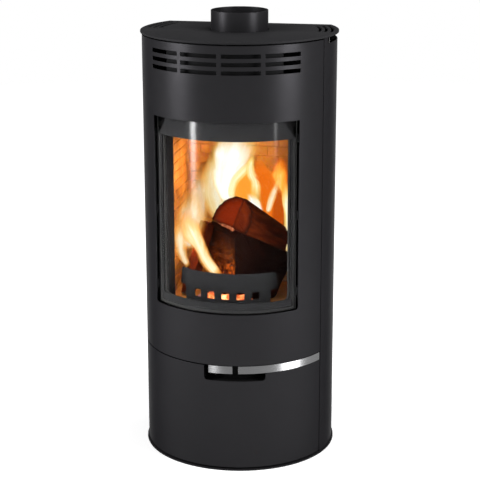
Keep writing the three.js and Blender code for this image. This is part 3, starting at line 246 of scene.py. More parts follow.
def round_plate_outline(radius, back):
    end = 180 - math.degrees(math.acos(back / radius))
    return arc(radius, -end, end)


def circle(radius, count, centre=(0, 0)):
    turn = 2 * math.pi / count
    return [
        Vector((centre[0] + radius * math.cos(i * turn), centre[1] + radius * math.sin(i * turn)))
        for i in range(count)
    ]


def box_into(bm, centre, size):
    bmesh.ops.create_cube(bm, size=1, matrix=Matrix.Translation(centre) @ Matrix.Diagonal((*size, 1)))


def turned(name, profile, count, material, edge=0.0):
    """A closed profile (radius, z) turned about the stove's axis."""
    bm = bmesh.new()
    rings = [[bm.verts.new(polar(r, 360 * i / count, z)) for r, z in profile] for i in range(count)]
    for i, ring in enumerate(rings):
        after = rings[(i + 1) % count]
        for k in range(len(profile)):
            n = (k + 1) % len(profile)
            bm.faces.new((ring[k], after[k], after[n], ring[n]))
    bmesh.ops.recalc_face_normals(bm, faces=bm.faces)
    return finished(mesh_object(name, bm, [material]), edge)


# ---------------------------------------------------------------- materials
class Nodes:
    """A node tree whose nodes are added one after another, named without the prefix of their kind."""

    prefix = "ShaderNode"

    def __init__(self, tree):
        self.nodes, self.links = tree.nodes, tree.links

    def feed(self, socket, value):
        if isinstance(value, bpy.types.NodeSocket):
            self.links.new(value, socket)
        else:
            socket.default_value = value

    def node(self, kind, inputs=None, **settings):
        node = self.nodes.new(kind if "Node" in kind else self.prefix + kind)
        for key, value in settings.items():
            setattr(node, key, value)
        for key, value in (inputs or {}).items():
            self.feed(node.inputs[key], value)
        return node

    def math(self, operation, a, b=0.0, clamp=False):
        node = self.node("ShaderNodeMath", {0: a, 1: b}, operation=operation, use_clamp=clamp)
        return node.outputs[0]

    def times(self, a, b, clamp=False):
        return self.math("MULTIPLY", a, b, clamp)

    def minus(self, a, b, clamp=False):
        return self.math("SUBTRACT", a, b, clamp)

    def off(self, value, middle):
        """How far a value is from a middle one."""
        return self.math("ABSOLUTE", self.minus(value, middle))

    def span(self, value, low_in, high_in, low_out=0.0, high_out=1.0):
        """Carries a value from one range to another, and holds it at the ends."""
        return self.node("MapRange", {
            "Value": value, "From Min": low_in, "From Max": high_in, "To Min": low_out, "To Max": high_out,
        }).outputs["Result"]

    def parts(self, vector):
        return self.node("SeparateXYZ", {"Vector": vector}).outputs

    def looked_at(self):
        """1 for rays that the camera follows directly, in a mirror or through glass, else 0."""
        path = self.node("LightPath").outputs
        glossy = self.math("ADD", path["Is Camera Ray"], path["Is Glossy Ray"])
        return self.math("ADD", glossy, path["Is Transmission Ray"], clamp=True)


class Finish(Nodes):
    """A material and its nodes."""

    def __init__(self, name):
        self.material = bpy.data.materials.new(name)
        self.material.use_nodes = True
        super().__init__(self.material.node_tree)
        self.shader = self.nodes["Principled BSDF"]

    def made(self, **values):
        """Sets the shader's inputs, and gives the material."""
        for key, value in values.items():
            self.feed(self.shader.inputs[key.replace("_", " ")], value)
        return self.material

    def uv(self, name):
        return self.node("UVMap", uv_map=name).outputs["UV"]

    def mapped(self, vector, scale, shift=(0, 0, 0)):
        return self.node("Mapping", {"Vector": vector, "Scale": scale, "Location": shift}).outputs[0]

    def place(self, scale=(1, 1, 1)):
        return self.mapped(self.node("TexCoord").outputs["Object"], scale)

    def grain(self, scale, detail=3.0, vector=None, roughness=0.55, distortion=0.0):
        return self.node("TexNoise", {
            "Vector": vector or self.place(), "Scale": scale, "Detail": detail, "Roughness": roughness,
            "Distortion": distortion,
        }).outputs["Fac"]

    def cells(self, scale, output, vector=None, **settings):
        inputs = {"Vector": vector or self.place(), "Scale": scale}
        return self.node("TexVoronoi", inputs, **settings).outputs[output]

    def edges_of_cells(self, scale, vector=None):
        return self.cells(scale, "Distance", vector, feature="DISTANCE_TO_EDGE")

    def rough(self, tone, smoothest, roughest):
        """A roughness that follows the middle of a grain's range."""
        return self.span(tone, 0.3, 0.7, smoothest, roughest)

    def ramp(self, value, *stops):
        node = self.node("ValToRGB", {"Fac": value})
        steps = node.color_ramp.elements
        while len(steps) < len(stops):
            steps.new(0.5)
        for step, (place, colour) in zip(steps, stops):
            step.position = place
            step.color = (*colour, 1)
        return node.outputs["Color"]

    def mixed(self, factor, a, b):
        node = self.node("Mix", data_type="RGBA")
        self.feed(node.inputs["Factor"], factor)
        for socket, value in zip((node.inputs[6], node.inputs[7]), (a, b)):
            self.feed(socket, value if isinstance(value, bpy.types.NodeSocket) else (*value, 1))
        return node.outputs[2]

    def bump(self, height, strength, distance, **after):
        inputs = {"Height": height, "Strength": strength, "Distance": distance, **after}
        return self.node("Bump", inputs).outputs["Normal"]


def satin_paint(name, dark, pale, roughness, mica):
    """Sprayed heat-proof paint: an even colour with a faint drift, and a fine grain. mica is its share of
    metal pigment, whose shine doesn't grow at grazing angles."""
    f = Finish(name)
    return f.made(
        Base_Color=f.mixed(f.grain(5.0, 2.0), dark, pale),
        Roughness=f.rough(f.grain(28.0), roughness - 0.03, roughness + 0.03),
        Metallic=mica,
        Specular_IOR_Level=0.0,
        Specular_Tint=(0.4, 0.4, 0.4, 1),
        Normal=f.bump(f.grain(900.0, 2.0), 0.12, 0.0002),
    )


def brushed_steel():
    """Steel with fine brush lines along the strip. Its dark colour is painted shade, for the dim surroundings
    that it mirrors.
    """
    f = Finish("brushed steel")
    lines = f.grain(1.0, vector=f.place((6, 6, 1400)))
    return f.made(
        Base_Color=f.mixed(lines, (0.086, 0.086, 0.08772), (0.10, 0.10, 0.102)),
        Metallic=1.0,
        Roughness=f.rough(lines, 0.2, 0.34),
        Normal=f.bump(lines, 0.08, 0.0001),
    )


def zinc_plating():
    f = Finish("zinc plating")
    tone = f.grain(60.0, 4.0)
    spangle = f.mixed(0.6, f.cells(140.0, "Color"), (0.5, 0.5, 0.5))
    return f.made(
        Base_Color=f.mixed(spangle, (0.38, 0.38, 0.39), (0.52, 0.52, 0.53)),
        Metallic=1.0,
        Roughness=f.rough(tone, 0.3, 0.5),
        Normal=f.bump(tone, 0.1, 0.0003),
    )


def grey_iron():
    f = Finish("cast iron")
    sand = f.grain(520.0, 4.0)
    return f.made(
        Base_Color=f.mixed(f.grain(18.0), (0.022, 0.021, 0.02), (0.05, 0.045, 0.04)),
        Metallic=0.6,
        Roughness=f.rough(sand, 0.6, 0.85),
        Normal=f.bump(sand, 0.5, 0.0006),
    )


def pressed_vermiculite():
    """Golden flakes pressed into a board, browned by smoke, and darker towards the top and the right."""
    f = Finish("pressed vermiculite")
    speckle = f.grain(420.0, 2.0)
    board = f.mixed(speckle, (0.42, 0.18, 0.032), (0.60, 0.29, 0.055))
    flaked = f.mixed(0.08, board, f.cells(260.0, "Color"))
    smoke = f.span(f.grain(9.0, 4.0), 0.45, 0.75, 0.0, 0.75)
    place = f.parts(f.place())
    # The board is darker towards the top and towards the right.
    high_up = f.span(place["Z"], 0.80, 0.87, 0.0, 0.6)
    to_the_right = f.span(place["X"], 0.02, 0.14, 0.0, 0.65)
    darkened = f.math("MAXIMUM", high_up, to_the_right)
    smoked = f.mixed(smoke, flaked, (0.16, 0.05, 0.012))
    return f.made(
        Base_Color=f.mixed(darkened, smoked, (0.10, 0.022, 0.002)),
        Roughness=f.rough(speckle, 0.85, 0.98),
        Specular_IOR_Level=0.03,
        Normal=f.bump(speckle, 0.4, 0.0008),
    )


def glass_rope():
    """Knitted glass yarn, greyed by soot."""
    f = Finish("glass rope")
    yarn = f.grain(600.0, 2.0)
    return f.made(
        Base_Color=f.mixed(yarn, (0.008, 0.008, 0.008), (0.026, 0.025, 0.024)),
        Roughness=f.rough(yarn, 0.85, 0.98),
        Specular_IOR_Level=0.1,
        Normal=f.bump(yarn, 0.6, 0.0005),
    )


def black_tape():
    """The thin woven tape between the glass and its frame, blackened by heat."""
    f = Finish("blackened glass tape")
    weave = f.cells(700.0, "Distance")
    return f.made(
        Base_Color=f.mixed(weave, (0.006, 0.006, 0.006), (0.016, 0.016, 0.016)),
        Roughness=f.span(weave, 0.0, 0.8, 0.8, 0.95),
        Specular_IOR_Level=0.2,
        Normal=f.bump(weave, 0.5, 0.0004),
    )


def ceramic_glass():
    """Clear glass that lets lamps through, with the faintest film of soot."""
    f = Finish("ceramic glass")
    f.made(
        Base_Color=f.mixed(f.grain(40.0), (0.93, 0.93, 0.93), (0.97, 0.97, 0.97)),
        Roughness=0.0,
        IOR=1.03,
        Transmission_Weight=1.0,
        Coat_Weight=0.015,
        Coat_Roughness=0.14,
    )
    lamps = f.node("LightPath").outputs["Is Shadow Ray"]
    clear = f.node("BsdfTransparent").outputs[0]
    mix = f.node("MixShader", {0: lamps, 1: f.shader.outputs[0], 2: clear})
    f.feed(f.nodes["Material Output"].inputs["Surface"], mix.outputs[0])
    return f.material


def log_wood():
    """Bark, split face and end grain by the log's own UV, darker at the rim and along a crack of its ends,
    charred by patches, and with painted ember glow: orange specks low on its outside."""
    f = Finish("charred firewood")
    uv, cut = f.uv("grain"), f.parts(f.uv("cut"))["X"]
    region, charred, rim = (
        f.node("Attribute", attribute_name=name).outputs["Fac"] for name in ("region", "charred", "rim"))
    fibres = f.grain(1.0, 5.0, f.mapped(uv, (14, 150, 1)), 0.6, 0.4)
    plates = f.edges_of_cells(1.0, f.mapped(uv, (26, 90, 1)))
    rings = f.node("TexWave", {
        "Vector": uv, "Scale": 60.0, "Distortion": 3.0, "Detail": 3.0}, bands_direction="Y").outputs["Fac"]
    # The wood's deep red-orange tones are partly its own colour and partly painted firelight.
    bark = f.ramp(plates, (0.0, (0.004, 0.001, 0.0005)), (0.4, (0.028, 0.004, 0.001)),
                  (1.0, (0.07, 0.012, 0.002)))
    split = f.ramp(fibres, (0.25, (0.007, 0.0015, 0.0005)), (0.5, (0.045, 0.006, 0.001)),
                   (0.8, (0.17, 0.024, 0.003)))
    grain = f.ramp(rings, (0.0, (0.075, 0.0055, 0.0004)), (1.0, (0.115, 0.0095, 0.0006)))
    ends = f.mixed(f.span(cut, CRACK, CRACK - 0.003, 0.0, 0.7), grain, split)
    wood = f.mixed(f.span(region, 0.5, 1.0), f.mixed(f.span(region, 0.0, 0.5), bark, split), ends)
    patches = f.math("ADD", f.times(f.span(f.grain(16.0, 5.0), 0.35, 0.7), 0.8), f.times(charred, 1.3))
    wander = f.times(f.minus(f.grain(60.0), 0.5), 0.006)
    from_crack = f.math("ABSOLUTE", f.math("ADD", f.minus(cut, CRACK), wander))
    crack = f.span(from_crack, 0.0006, 0.0022, 0.95, 0.0)
    dark = f.math("MAXIMUM", f.minus(patches, 0.45, clamp=True), f.math("MAXIMUM", crack, rim))
    # Painted ember glow: orange specks low down on the logs' outsides.
    low_down = f.span(f.parts(f.place())["Z"], 0.60, 0.50)
    specks = f.times(f.span(f.grain(170.0), 0.52, 0.66), low_down)
    painted_ember_glow = f.times(specks, f.span(region, 0.5, 0.0))
    return f.made(
        Base_Color=f.mixed(painted_ember_glow, f.mixed(dark, wood, (0.006, 0.0015, 0.0007)), (0.36, 0.08, 0.008)),
        Roughness=f.rough(fibres, 0.85, 0.98),
        Specular_IOR_Level=0.02,
        Normal=f.bump(plates, 0.7, 0.003, Normal=f.bump(fibres, 0.7, 0.0015)),
    )


def splinter_wood_painted_firelight():
    """Freshly torn pale splinters; their bright orange tone is painted firelight."""
    f = Finish("torn splinters")
    tone = f.grain(220.0)
    return f.made(
        Base_Color=f.ramp(tone, (0.35, (0.05, 0.008, 0.002)), (0.5, (0.22, 0.05, 0.016)),
                          (0.65, (0.62, 0.22, 0.10))),
        Roughness=f.rough(tone, 0.75, 0.95),
        Specular_IOR_Level=0.05,
    )


def glowing_ember():
    """Ash over embers that glow in their cracks, most in the middle of the bed."""
    f = Finish("glowing ember")
    heat = f.grain(26.0)
    middle = f.span(f.off(f.parts(f.place())["X"], 0.008), 0.012, 0.075, 1.25, 0.3)
    cracks = f.span(f.edges_of_cells(120.0), 0.32, 0.0, 0.35, 1.0)
    glow = f.times(f.times(f.span(heat, 0.3, 0.6), cracks), middle)
    return f.made(
        Base_Color=f.mixed(heat, (0.03, 0.02, 0.018), (0.12, 0.09, 0.08)),
        Roughness=f.rough(heat, 0.8, 0.95),
        Emission_Color=f.ramp(glow, (0.0, (0.35, 0.01, 0.0)), (0.4, (1.0, 0.13, 0.01)),
                              (1.0, (1.0, 0.62, 0.25))),
        Emission_Strength=f.span(glow, 0.02, 0.9, 0.0, 3.2),
    )


def flame(name, stops, strength, seed, wisp, density, soft):
    """A burning tongue. Its own UV runs across it and from root to tip: it is hottest in the middle and
    breaks into wisps towards its edges and tip. soft is the share of its heat over which it thins out."""
    f = Finish(name)
    uv = f.uv("tongue")
    across, up = (f.parts(uv)[axis] for axis in "XY")
    lick = f.grain(1.0, 3.0, f.mapped(uv, (1.6, 2.2, 1), (seed, seed, seed)), 0.5, 0.8)
    sway = f.times(f.minus(lick, 0.5), f.span(up, 0.0, 1.0, 0.25, 1.1 * wisp))
    offset = f.math("ABSOLUTE", f.math("ADD", f.minus(across, 0.5), sway))
    core = f.minus(1.0, f.math("POWER", f.times(offset, 2.0), 1.6), clamp=True)
    rim = f.span(f.off(across, 0.5), 0.5, 0.36)
    fade = f.times(f.span(up, 1.0, 0.6), f.span(up, 0.0, 0.1))
    body = f.times(f.times(core, fade), rim)
    streaks = f.grain(1.0, 4.0, f.mapped(uv, (7, 1.5, 1), (seed * 2, 0, seed)), 0.6, 0.5)
    heat = f.times(body, f.span(streaks, 0.25, 0.7, 0.6, 1.15))
    return f.made(
        Base_Color=f.ramp(heat, (0.0, (0.04, 0.01, 0.002)), (1.0, (0.08, 0.03, 0.006))),
        Roughness=1.0,
        Specular_IOR_Level=0.0,
        Emission_Color=f.ramp(heat, *stops),
        Emission_Strength=strength,
        Alpha=f.times(f.span(heat, 0.02, soft), density, clamp=True),
    )


RED_EDGE = (0.75, 0.09, 0.005)
ORANGE = (1.0, 0.26, 0.015)
AMBER = (1.0, 0.46, 0.06)
YELLOW = (1.0, 0.72, 0.22)
CREAM = (1.0, 0.92, 0.66)
HOT = [(0.0, ORANGE), (0.25, AMBER), (0.5, YELLOW), (0.8, CREAM)]
WARM = [(0.0, RED_EDGE), (0.35, ORANGE), (0.8, AMBER), (1.0, YELLOW)]
HOLLOW = [(0.0, YELLOW), (0.12, (1.0, 0.5, 0.09)), (0.3, (1.0, 0.4, 0.05)), (0.7, (1.0, 0.32, 0.03))]
DEEP = [(0.0, AMBER), (0.08, (1.0, 0.28, 0.02)), (0.25, (0.93, 0.19, 0.008)), (0.6, (0.76, 0.14, 0.005))]
EMBERED = [(0.0, AMBER), (0.08, (0.95, 0.22, 0.015)), (0.25, (0.66, 0.12, 0.005)), (0.6, (0.48, 0.07, 0.002))]
RIM = [(0.0, AMBER), (0.3, (1.0, 0.66, 0.16)), (0.7, (1.0, 0.84, 0.36)), (1.0, (1.0, 0.92, 0.6))]
PALE = [(0.0, (0.66, 0.28, 0.04)), (0.3, (0.78, 0.44, 0.1)), (0.6, (0.9, 0.7, 0.3)),
        (1.0, (0.98, 0.93, 0.68))]
SOFT = [(0.0, (1.0, 0.26, 0.015)), (0.2, (1.0, 0.38, 0.05)), (0.5, (1.0, 0.58, 0.17)),
        (0.85, (1.0, 0.9, 0.62))]
WHITE_HOT = [(0.0, AMBER), (0.18, YELLOW), (0.4, CREAM), (0.7, (1.0, 0.98, 0.9))]

CASING = satin_paint("satin anthracite paint", (0.0198, 0.0195, 0.021), (0.0236, 0.023, 0.0248), 0.34, 0.58)
LID = satin_paint("satin lid paint", (0.021, 0.021, 0.022), (0.025, 0.0245, 0.026), 0.55, 0.2)
INNER = satin_paint("matt inner paint", (0.0125, 0.0125, 0.0132), (0.0155, 0.0155, 0.016), 0.5, 0.2)
STEEL = brushed_steel()
ZINC = zinc_plating()
IRON = grey_iron()
BRICK = pressed_vermiculite()
ROPE = glass_rope()
TAPE = black_tape()
GLASS = ceramic_glass()
# The glass's cut edges are painted near black: painted shade of the dark gap they sit in.
GLASS_RIM_SHADE = satin_paint("ground glass rim", (0.006, 0.006, 0.006), (0.011, 0.011, 0.011), 0.7, 0.4)
SOOTED = satin_paint("sooted inner paint", (0.004, 0.004, 0.0045), (0.008, 0.0075, 0.0075), 0.75, 0.1)
WOOD = log_wood()
EMBER = glowing_ember()
SPLINTER_WOOD_PAINTED_FIRELIGHT = splinter_wood_painted_firelight()


# ---------------------------------------------------------------- geometry node trees
class Tree(Nodes):
    """A geometry node tree with named inputs, that ends in copies of a piece."""

    prefix = "GeometryNode"

    def __init__(self, name, **inputs):
        self.group = bpy.data.node_groups.new(name, "GeometryNodeTree")
        super().__init__(self.group)
        face = self.group.interface
        face.new_socket(name="Geometry", in_out="OUTPUT", socket_type="NodeSocketGeometry")
        self.keys = {}
        for label, kind in {**inputs, "Piece": "Object", "Material": "Material"}.items():
            socket = face.new_socket(name=label, in_out="INPUT", socket_type=f"NodeSocket{kind}")
            self.keys[label] = socket.identifier
        self.start, self.end = self.nodes.new("NodeGroupInput"), self.nodes.new("NodeGroupOutput")

    def of(self, label):
        return self.start.outputs[label]

    def copies(self, points, **turn_and_size):
        """Puts the piece at each point, makes the copies real and gives them their material."""
        piece = self.node("ObjectInfo", {"Object": self.of("Piece")}).outputs["Geometry"]
        placed = self.node("InstanceOnPoints", {"Points": points, "Instance": piece, **turn_and_size})
        real = self.node("RealizeInstances", {"Geometry": placed.outputs[0]}).outputs[0]
        painted = self.node("SetMaterial", {"Geometry": real, "Material": self.of("Material")})
        self.feed(self.end.inputs["Geometry"], painted.outputs[0])
        return self

    def make(self, name, **values):
        """Runs the tree and keeps its result as a plain mesh."""
        host = new_object(name, bpy.data.meshes.new(name))
        modifier = host.modifiers.new(name, "NODES")
        modifier.node_group = self.group
        for label, value in values.items():
            modifier[self.keys[label]] = value
        shown = host.evaluated_get(bpy.context.evaluated_depsgraph_get())
        host.data, empty = bpy.data.meshes.new_from_object(shown), host.data
        host.modifiers.clear()
        bpy.data.meshes.remove(empty)
        return host


def row_tree():
    """One piece repeated in rows and columns, every other row moved along."""
    t = Tree("rows of one piece", Columns="Int", Rows="Int", Column_Pitch="Float", Row_Pitch="Float",
             Row_Shift="Float")
    columns, rows = t.of("Columns"), t.of("Rows")
    grid = t.node("MeshGrid", {
        "Size X": t.times(t.minus(columns, 1.0), t.of("Column_Pitch")), "Vertices X": columns,
        "Size Y": t.times(t.minus(rows, 1.0), t.of("Row_Pitch")), "Vertices Y": rows})
    odd = t.math("MODULO", t.math("MODULO", t.node("InputIndex").outputs[0], rows), 2.0)
    shift = t.node("ShaderNodeCombineXYZ", {"X": t.times(odd, t.of("Row_Shift"))}).outputs[0]
    return t.copies(t.node("SetPosition", {"Geometry": grid.outputs["Mesh"], "Offset": shift}).outputs[0])


def heap_tree():
    """Lumps of different sizes strewn over a rectangle and turned at random."""
    t = Tree("strewn lumps", Width="Float", Depth="Float", Density="Float", Smallest="Float",
             Largest="Float", Seed="Int")
    seed = {"Seed": t.of("Seed")}
    grid = t.node("MeshGrid", {
        "Size X": t.of("Width"), "Size Y": t.of("Depth"), "Vertices X": 2, "Vertices Y": 2})
    points = t.node("DistributePointsOnFaces", {
        "Mesh": grid.outputs["Mesh"], "Density": t.of("Density"), **seed})
    size = t.node("FunctionNodeRandomValue", {
        "Min": t.of("Smallest"), "Max": t.of("Largest"), **seed}, data_type="FLOAT")
    turn = t.node("FunctionNodeRandomValue", {1: (2 * math.pi,) * 3, **seed}, data_type="FLOAT_VECTOR")
    return t.copies(points.outputs["Points"], Rotation=turn.outputs[0], Scale=size.outputs[1])


def rope_tree():
    """Strands laid slantwise one behind another along a line of points: a braided rope."""
    t = Tree("braided rope", Line="Object", Pitch="Float", Slant="Float")
    line = t.node("ObjectInfo", {"Object": t.of("Line")}).outputs["Geometry"]
    curve = t.node("MeshToCurve", {"Mesh": line}).outputs[0]
    points = t.node("CurveToPoints", {"Curve": curve, "Length": t.of("Pitch")}, mode="LENGTH").outputs
    lean = t.node("ShaderNodeCombineXYZ", {"X": t.of("Slant")}).outputs[0]
    slant = t.node("FunctionNodeRotateRotation", {
        "Rotation": points["Rotation"],
        "Rotate By": t.node("FunctionNodeEulerToRotation", {"Euler": lean}).outputs[0],
    }, rotation_space="LOCAL")
    return t.copies(points["Points"], Rotation=slant.outputs[0])


ROWS, HEAP, BRAID = row_tree(), heap_tree(), rope_tree()


def settled(obj, matrix):
    """Moves a made mesh to its place, and leaves the object at the origin."""
    obj.data.transform(matrix)
    obj.data.update()
    return obj


def discard(*patterns):
    for obj in patterns:
        bpy.data.objects.remove(obj)


# ---------------------------------------------------------------- casing
def carry(obj, body, slot, *nodes):
    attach(obj, body)
    if nodes:
        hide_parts(*nodes)
    return obj


def casing():
    base = plate("foot_plate", round_plate_outline(-low("base_plate").y, high("base_plate").y), [],
                 low("base_plate").z, high("base_plate").z, CASING)
    carry(base, "casing", "casing_paint", "base_plate")

    shell_end = 180 - math.degrees(math.acos((BACK - TOUCH) / BODY))
    bottom, top = low("right_side_shell").z, high("right_side_shell").z
    notch_start, notch_end, notch_foot = 73, 113, top - 16 * MM
    for side, name in ((1, "right"), (-1, "left")):
        outline = rounded([(along(BODY, side * a), z, r) for a, z, r in (
            (SHELL_START, bottom, 0), (shell_end, bottom, 0), (shell_end, top, 0), (notch_end, top, 0),
            (notch_end, notch_foot, 3 * MM), (notch_start, notch_foot, 3 * MM), (notch_start, top, 0),
            (SHELL_START, top, 0))])
        shell = bent_sheet(f"{name}_casing_side", BODY, BODY - SHELL_SHEET, outline, [], CASING)
        carry(shell, "casing", "casing_paint", f"{name}_side_shell")

    top_plate()
    flue_collar()
    back_panel()


def slot_in_arc(radius, width, start, end):
    """A long slot with round ends, on an arc."""
    half = width / 2
    cap = math.degrees(half / radius)
    outer = arc(radius + half, start + cap, end - cap)
    inner = arc(radius - half, end - cap, start + cap)

    def end_cap(at, towards):
        middle = polar(radius, at).xy
        out = middle.normalized() * half
        way = Matrix.Rotation(math.pi / 2, 2) @ out * towards
        turns = (math.pi * k / 6 for k in range(1, 6))
        return [middle + math.cos(t) * out + math.sin(t) * way for t in turns]

    return outer + end_cap(end - cap, 1) + inner + end_cap(start + cap, -1)[::-1]


def top_plate():
    radius, top = -low("top_plate").y, high("top_plate").z
    bottom = top - 5 * MM
    slots = [slot_in_arc(radius - from_edge * MM, 8 * MM, start, end)
             for from_edge in (17, 33, 49) for start, end in ((86, 117), (-117, -86))]
    bore = circle(COLLAR + 1.2 * MM, 96)
    outline = round_plate_outline(radius, high("top_plate").y)
    lid = plate("lid_plate", outline, [bore, *slots], bottom, top, LID, 0.9 * MM)
    carry(lid, "casing", "casing_paint", "top_plate")
    posts = bmesh.new()
    foot, thick = high("firebox_top").z + TOUCH, 8 * MM
    for angle, at in ((45, 0.170), (-45, 0.170), (130, 0.125), (-130, 0.125)):
        middle = Matrix.Translation(polar(at, angle, (foot + bottom) / 2))
        bmesh.ops.create_cone(posts, cap_ends=True, segments=24, radius1=thick, radius2=thick,
                              depth=bottom - foot, matrix=middle)
    carry(finished(mesh_object("lid_spacers", posts, [INNER]), round_sides=False), "casing", "inner_paint")


def flue_collar():
    bottom, top = low("flue_collar").z, high("flue_collar").z
    bore, flange, flange_top = COLLAR - 2 * MM, COLLAR + 18 * MM, bottom + 3.7 * MM
    profile = [(bore, bottom), (flange, bottom), (flange, flange_top), (COLLAR, flange_top), (COLLAR, top),
               (bore, top)]
    carry(turned("flue_pipe_collar", profile, 128, CASING, 0.6 * MM), "casing", "casing_paint", "flue_collar")


def back_panel():
    """The flat back: two vent fields, the air intake's hole, folded sides, its screws, and a dark sheet of
    painted shade behind the upper vents, which keeps the bright backdrop from showing through them."""
    half = high("back_panel").x
    bottom, top = low("back_panel").z, high("back_panel").z
    centre = (top + bottom) / 2
    half_length, vent_height, vent_pitch, field_pitch = 0.035, 0.008, 0.018, 0.105
    vents = []
    for lowest in (0.985, 0.300):
        for row in range(5):
            for column in (-1, 0, 1):
                x, z = column * field_pitch, lowest + row * vent_pitch
                vents.append(rectangle(x - half_length, x + half_length, z, z + vent_height, 3.9 * MM))
    mouth = circle(50.3 * MM, 64, (0, 0.130))
    bm = sheet_body(rectangle(-half, half, bottom, top), [mouth, *vents], [], SHELL_SHEET,
                    lambda x, z, d: Vector((x, BACK - d, z)))
    panel = finished(mesh_object("back_wall_panel", bm, [CASING]), 0.6 * MM, False)
    carry(panel, "casing", "casing_paint", "back_panel")
    folds = bmesh.new()
    sheet, depth = 2 * MM, 11.5 * MM
    for side in (-1, 1):
        box_into(folds, (side * (half - sheet / 2), BACK - SHELL_SHEET - depth / 2, centre),
                 (sheet, depth, top - bottom))
    carry(mesh_object("back_panel_folds", folds, [CASING]), "casing", "casing_paint")
    # A dark sheet of painted shade behind the upper vents, so that the backdrop doesn't show through them.
    shield = bmesh.new()
    box_into(shield, (0, BACK - 22 * MM, 1.03), (0.40, 1.5 * MM, 0.12))
    carry(mesh_object("vent_shield", shield, [INNER]), "casing", "inner_paint")

    head, rows, from_side, from_ends = screw_head(), 6, 9 * MM, 25 * MM
    screws = ROWS.make("back_panel_screws", Columns=2, Rows=rows, Column_Pitch=2 * (half - from_side),
                       Row_Pitch=(top - bottom - 2 * from_ends) / (rows - 1), Row_Shift=0.0, Piece=head,
                       Material=ZINC)
    discard(head)
    stand = Matrix.Translation((0, BACK, centre)) @ Matrix.Rotation(math.radians(90), 4, "X")
    carry(finished(settled(screws, stand), 0, False), "casing", "zinc_plate")


def bridge(bm, near, far):
    """The faces between two closed rings of points."""
    count = len(near)
    pairs = [(k, (k + 1) % count) for k in range(count)]
    return [bm.faces.new((near[k], near[n], far[n], far[k])) for k, n in pairs]


def screw_head():
    """A low domed head that faces -Z of its own, 7.6 mm across and dished in the middle."""
    bm = bmesh.new()
    sides = 20
    rings = [
        [bm.verts.new((radius * MM * math.cos(a), radius * MM * math.sin(a), -z * MM))
         for a in (2 * math.pi * k / sides for k in range(sides))]
        for radius, z in ((1.6, 1.9), (2.9, 1.4), (3.7, 0.6), (3.8, -0.3))]
    tip = bm.verts.new((0, 0, -1.0 * MM))
    for ring, after in zip(rings, rings[1:]):
        bridge(bm, ring, after)
    for k in range(sides):
        bm.faces.new((tip, rings[0][(k + 1) % sides], rings[0][k]))
    bm.faces.new(rings[-1])
    bmesh.ops.recalc_face_normals(bm, faces=bm.faces)
    return mesh_object("screw head", bm)


# ---------------------------------------------------------------- doors
def louvre_slots():
    """Four groups of three slots above the window."""
    top, pitch, half_height = high("fuel_door_skin").z - 26 * MM, 20.7 * MM, 5.25 * MM
    group_pitch, half_group = 24.8, 11.15
    slots = []
    for row in range(3):
        z = top - row * pitch
        for group in range(4):
            a = (group - 1.5) * group_pitch
            slots.append(opening(BODY, a - half_group, a + half_group, z - half_height, z + half_height,
                                 1.5 * MM))
    return slots


def edges_in(obj, material):
    """Gives the cut edges of a bent sheet their own finish."""
    obj.data.materials.append(material)
    for face in obj.data.polygons:
        radial = Vector((face.center.x, face.center.y, 0)).normalized()
        if abs(face.normal.dot(radial)) < 0.9:
            face.material_index = 1


def fuel_door():
    x, foot, head = along(BODY, WINDOW_HALF), 8 * MM, 2 * MM
    window = rounded([(-x, WINDOW_LOW, foot), (x, WINDOW_LOW, foot), (x, WINDOW_HIGH, head),
                      (-x, WINDOW_HIGH, head)])
    skin = bent_panel("fire_door_panel", BODY, DOOR_INNER, -DOOR_HALF, DOOR_HALF, low("fuel_door_skin").z,
                      high("fuel_door_skin").z, CASING, [window, *louvre_slots()])
    carry(skin, "fuel_door", "casing_paint", "fuel_door_skin")

    bottom, top = low("door_glass").z, high("door_glass").z
    glass = bent_panel("window_glass", GLASS_OUTER, GLASS_OUTER - 4 * MM, -GLASS_HALF, GLASS_HALF,
                       bottom, top, GLASS, edge=0.5 * MM)
    # The glass's cut edges get the painted shade of the gap round the window.
    edges_in(glass, GLASS_RIM_SHADE)
    carry(glass, "fuel_door", "ceramic_glass", "door_glass")

    inside, chamfer, chamfer_foot = GLASS_HALF - 3.1, GLASS_HALF - 9, top - 48 * MM
    inner_window = opening(FRAME_OUTER, -inside, inside, bottom + 27 * MM, top - 50 * MM, 5 * MM)
    outline = rounded([(along(FRAME_OUTER, a), z, 0) for a, z in (
        (-GLASS_HALF, bottom), (GLASS_HALF, bottom), (GLASS_HALF, chamfer_foot), (chamfer, top),
        (-chamfer, top), (-GLASS_HALF, chamfer_foot))])
    frame_sheet = bent_sheet("window_inner_frame", FRAME_OUTER, FRAME_INNER, outline, [inner_window], INNER)
    edges_in(frame_sheet, SOOTED)
    carry(frame_sheet, "fuel_door", "inner_paint", "glass_frame")
    rope_seal()


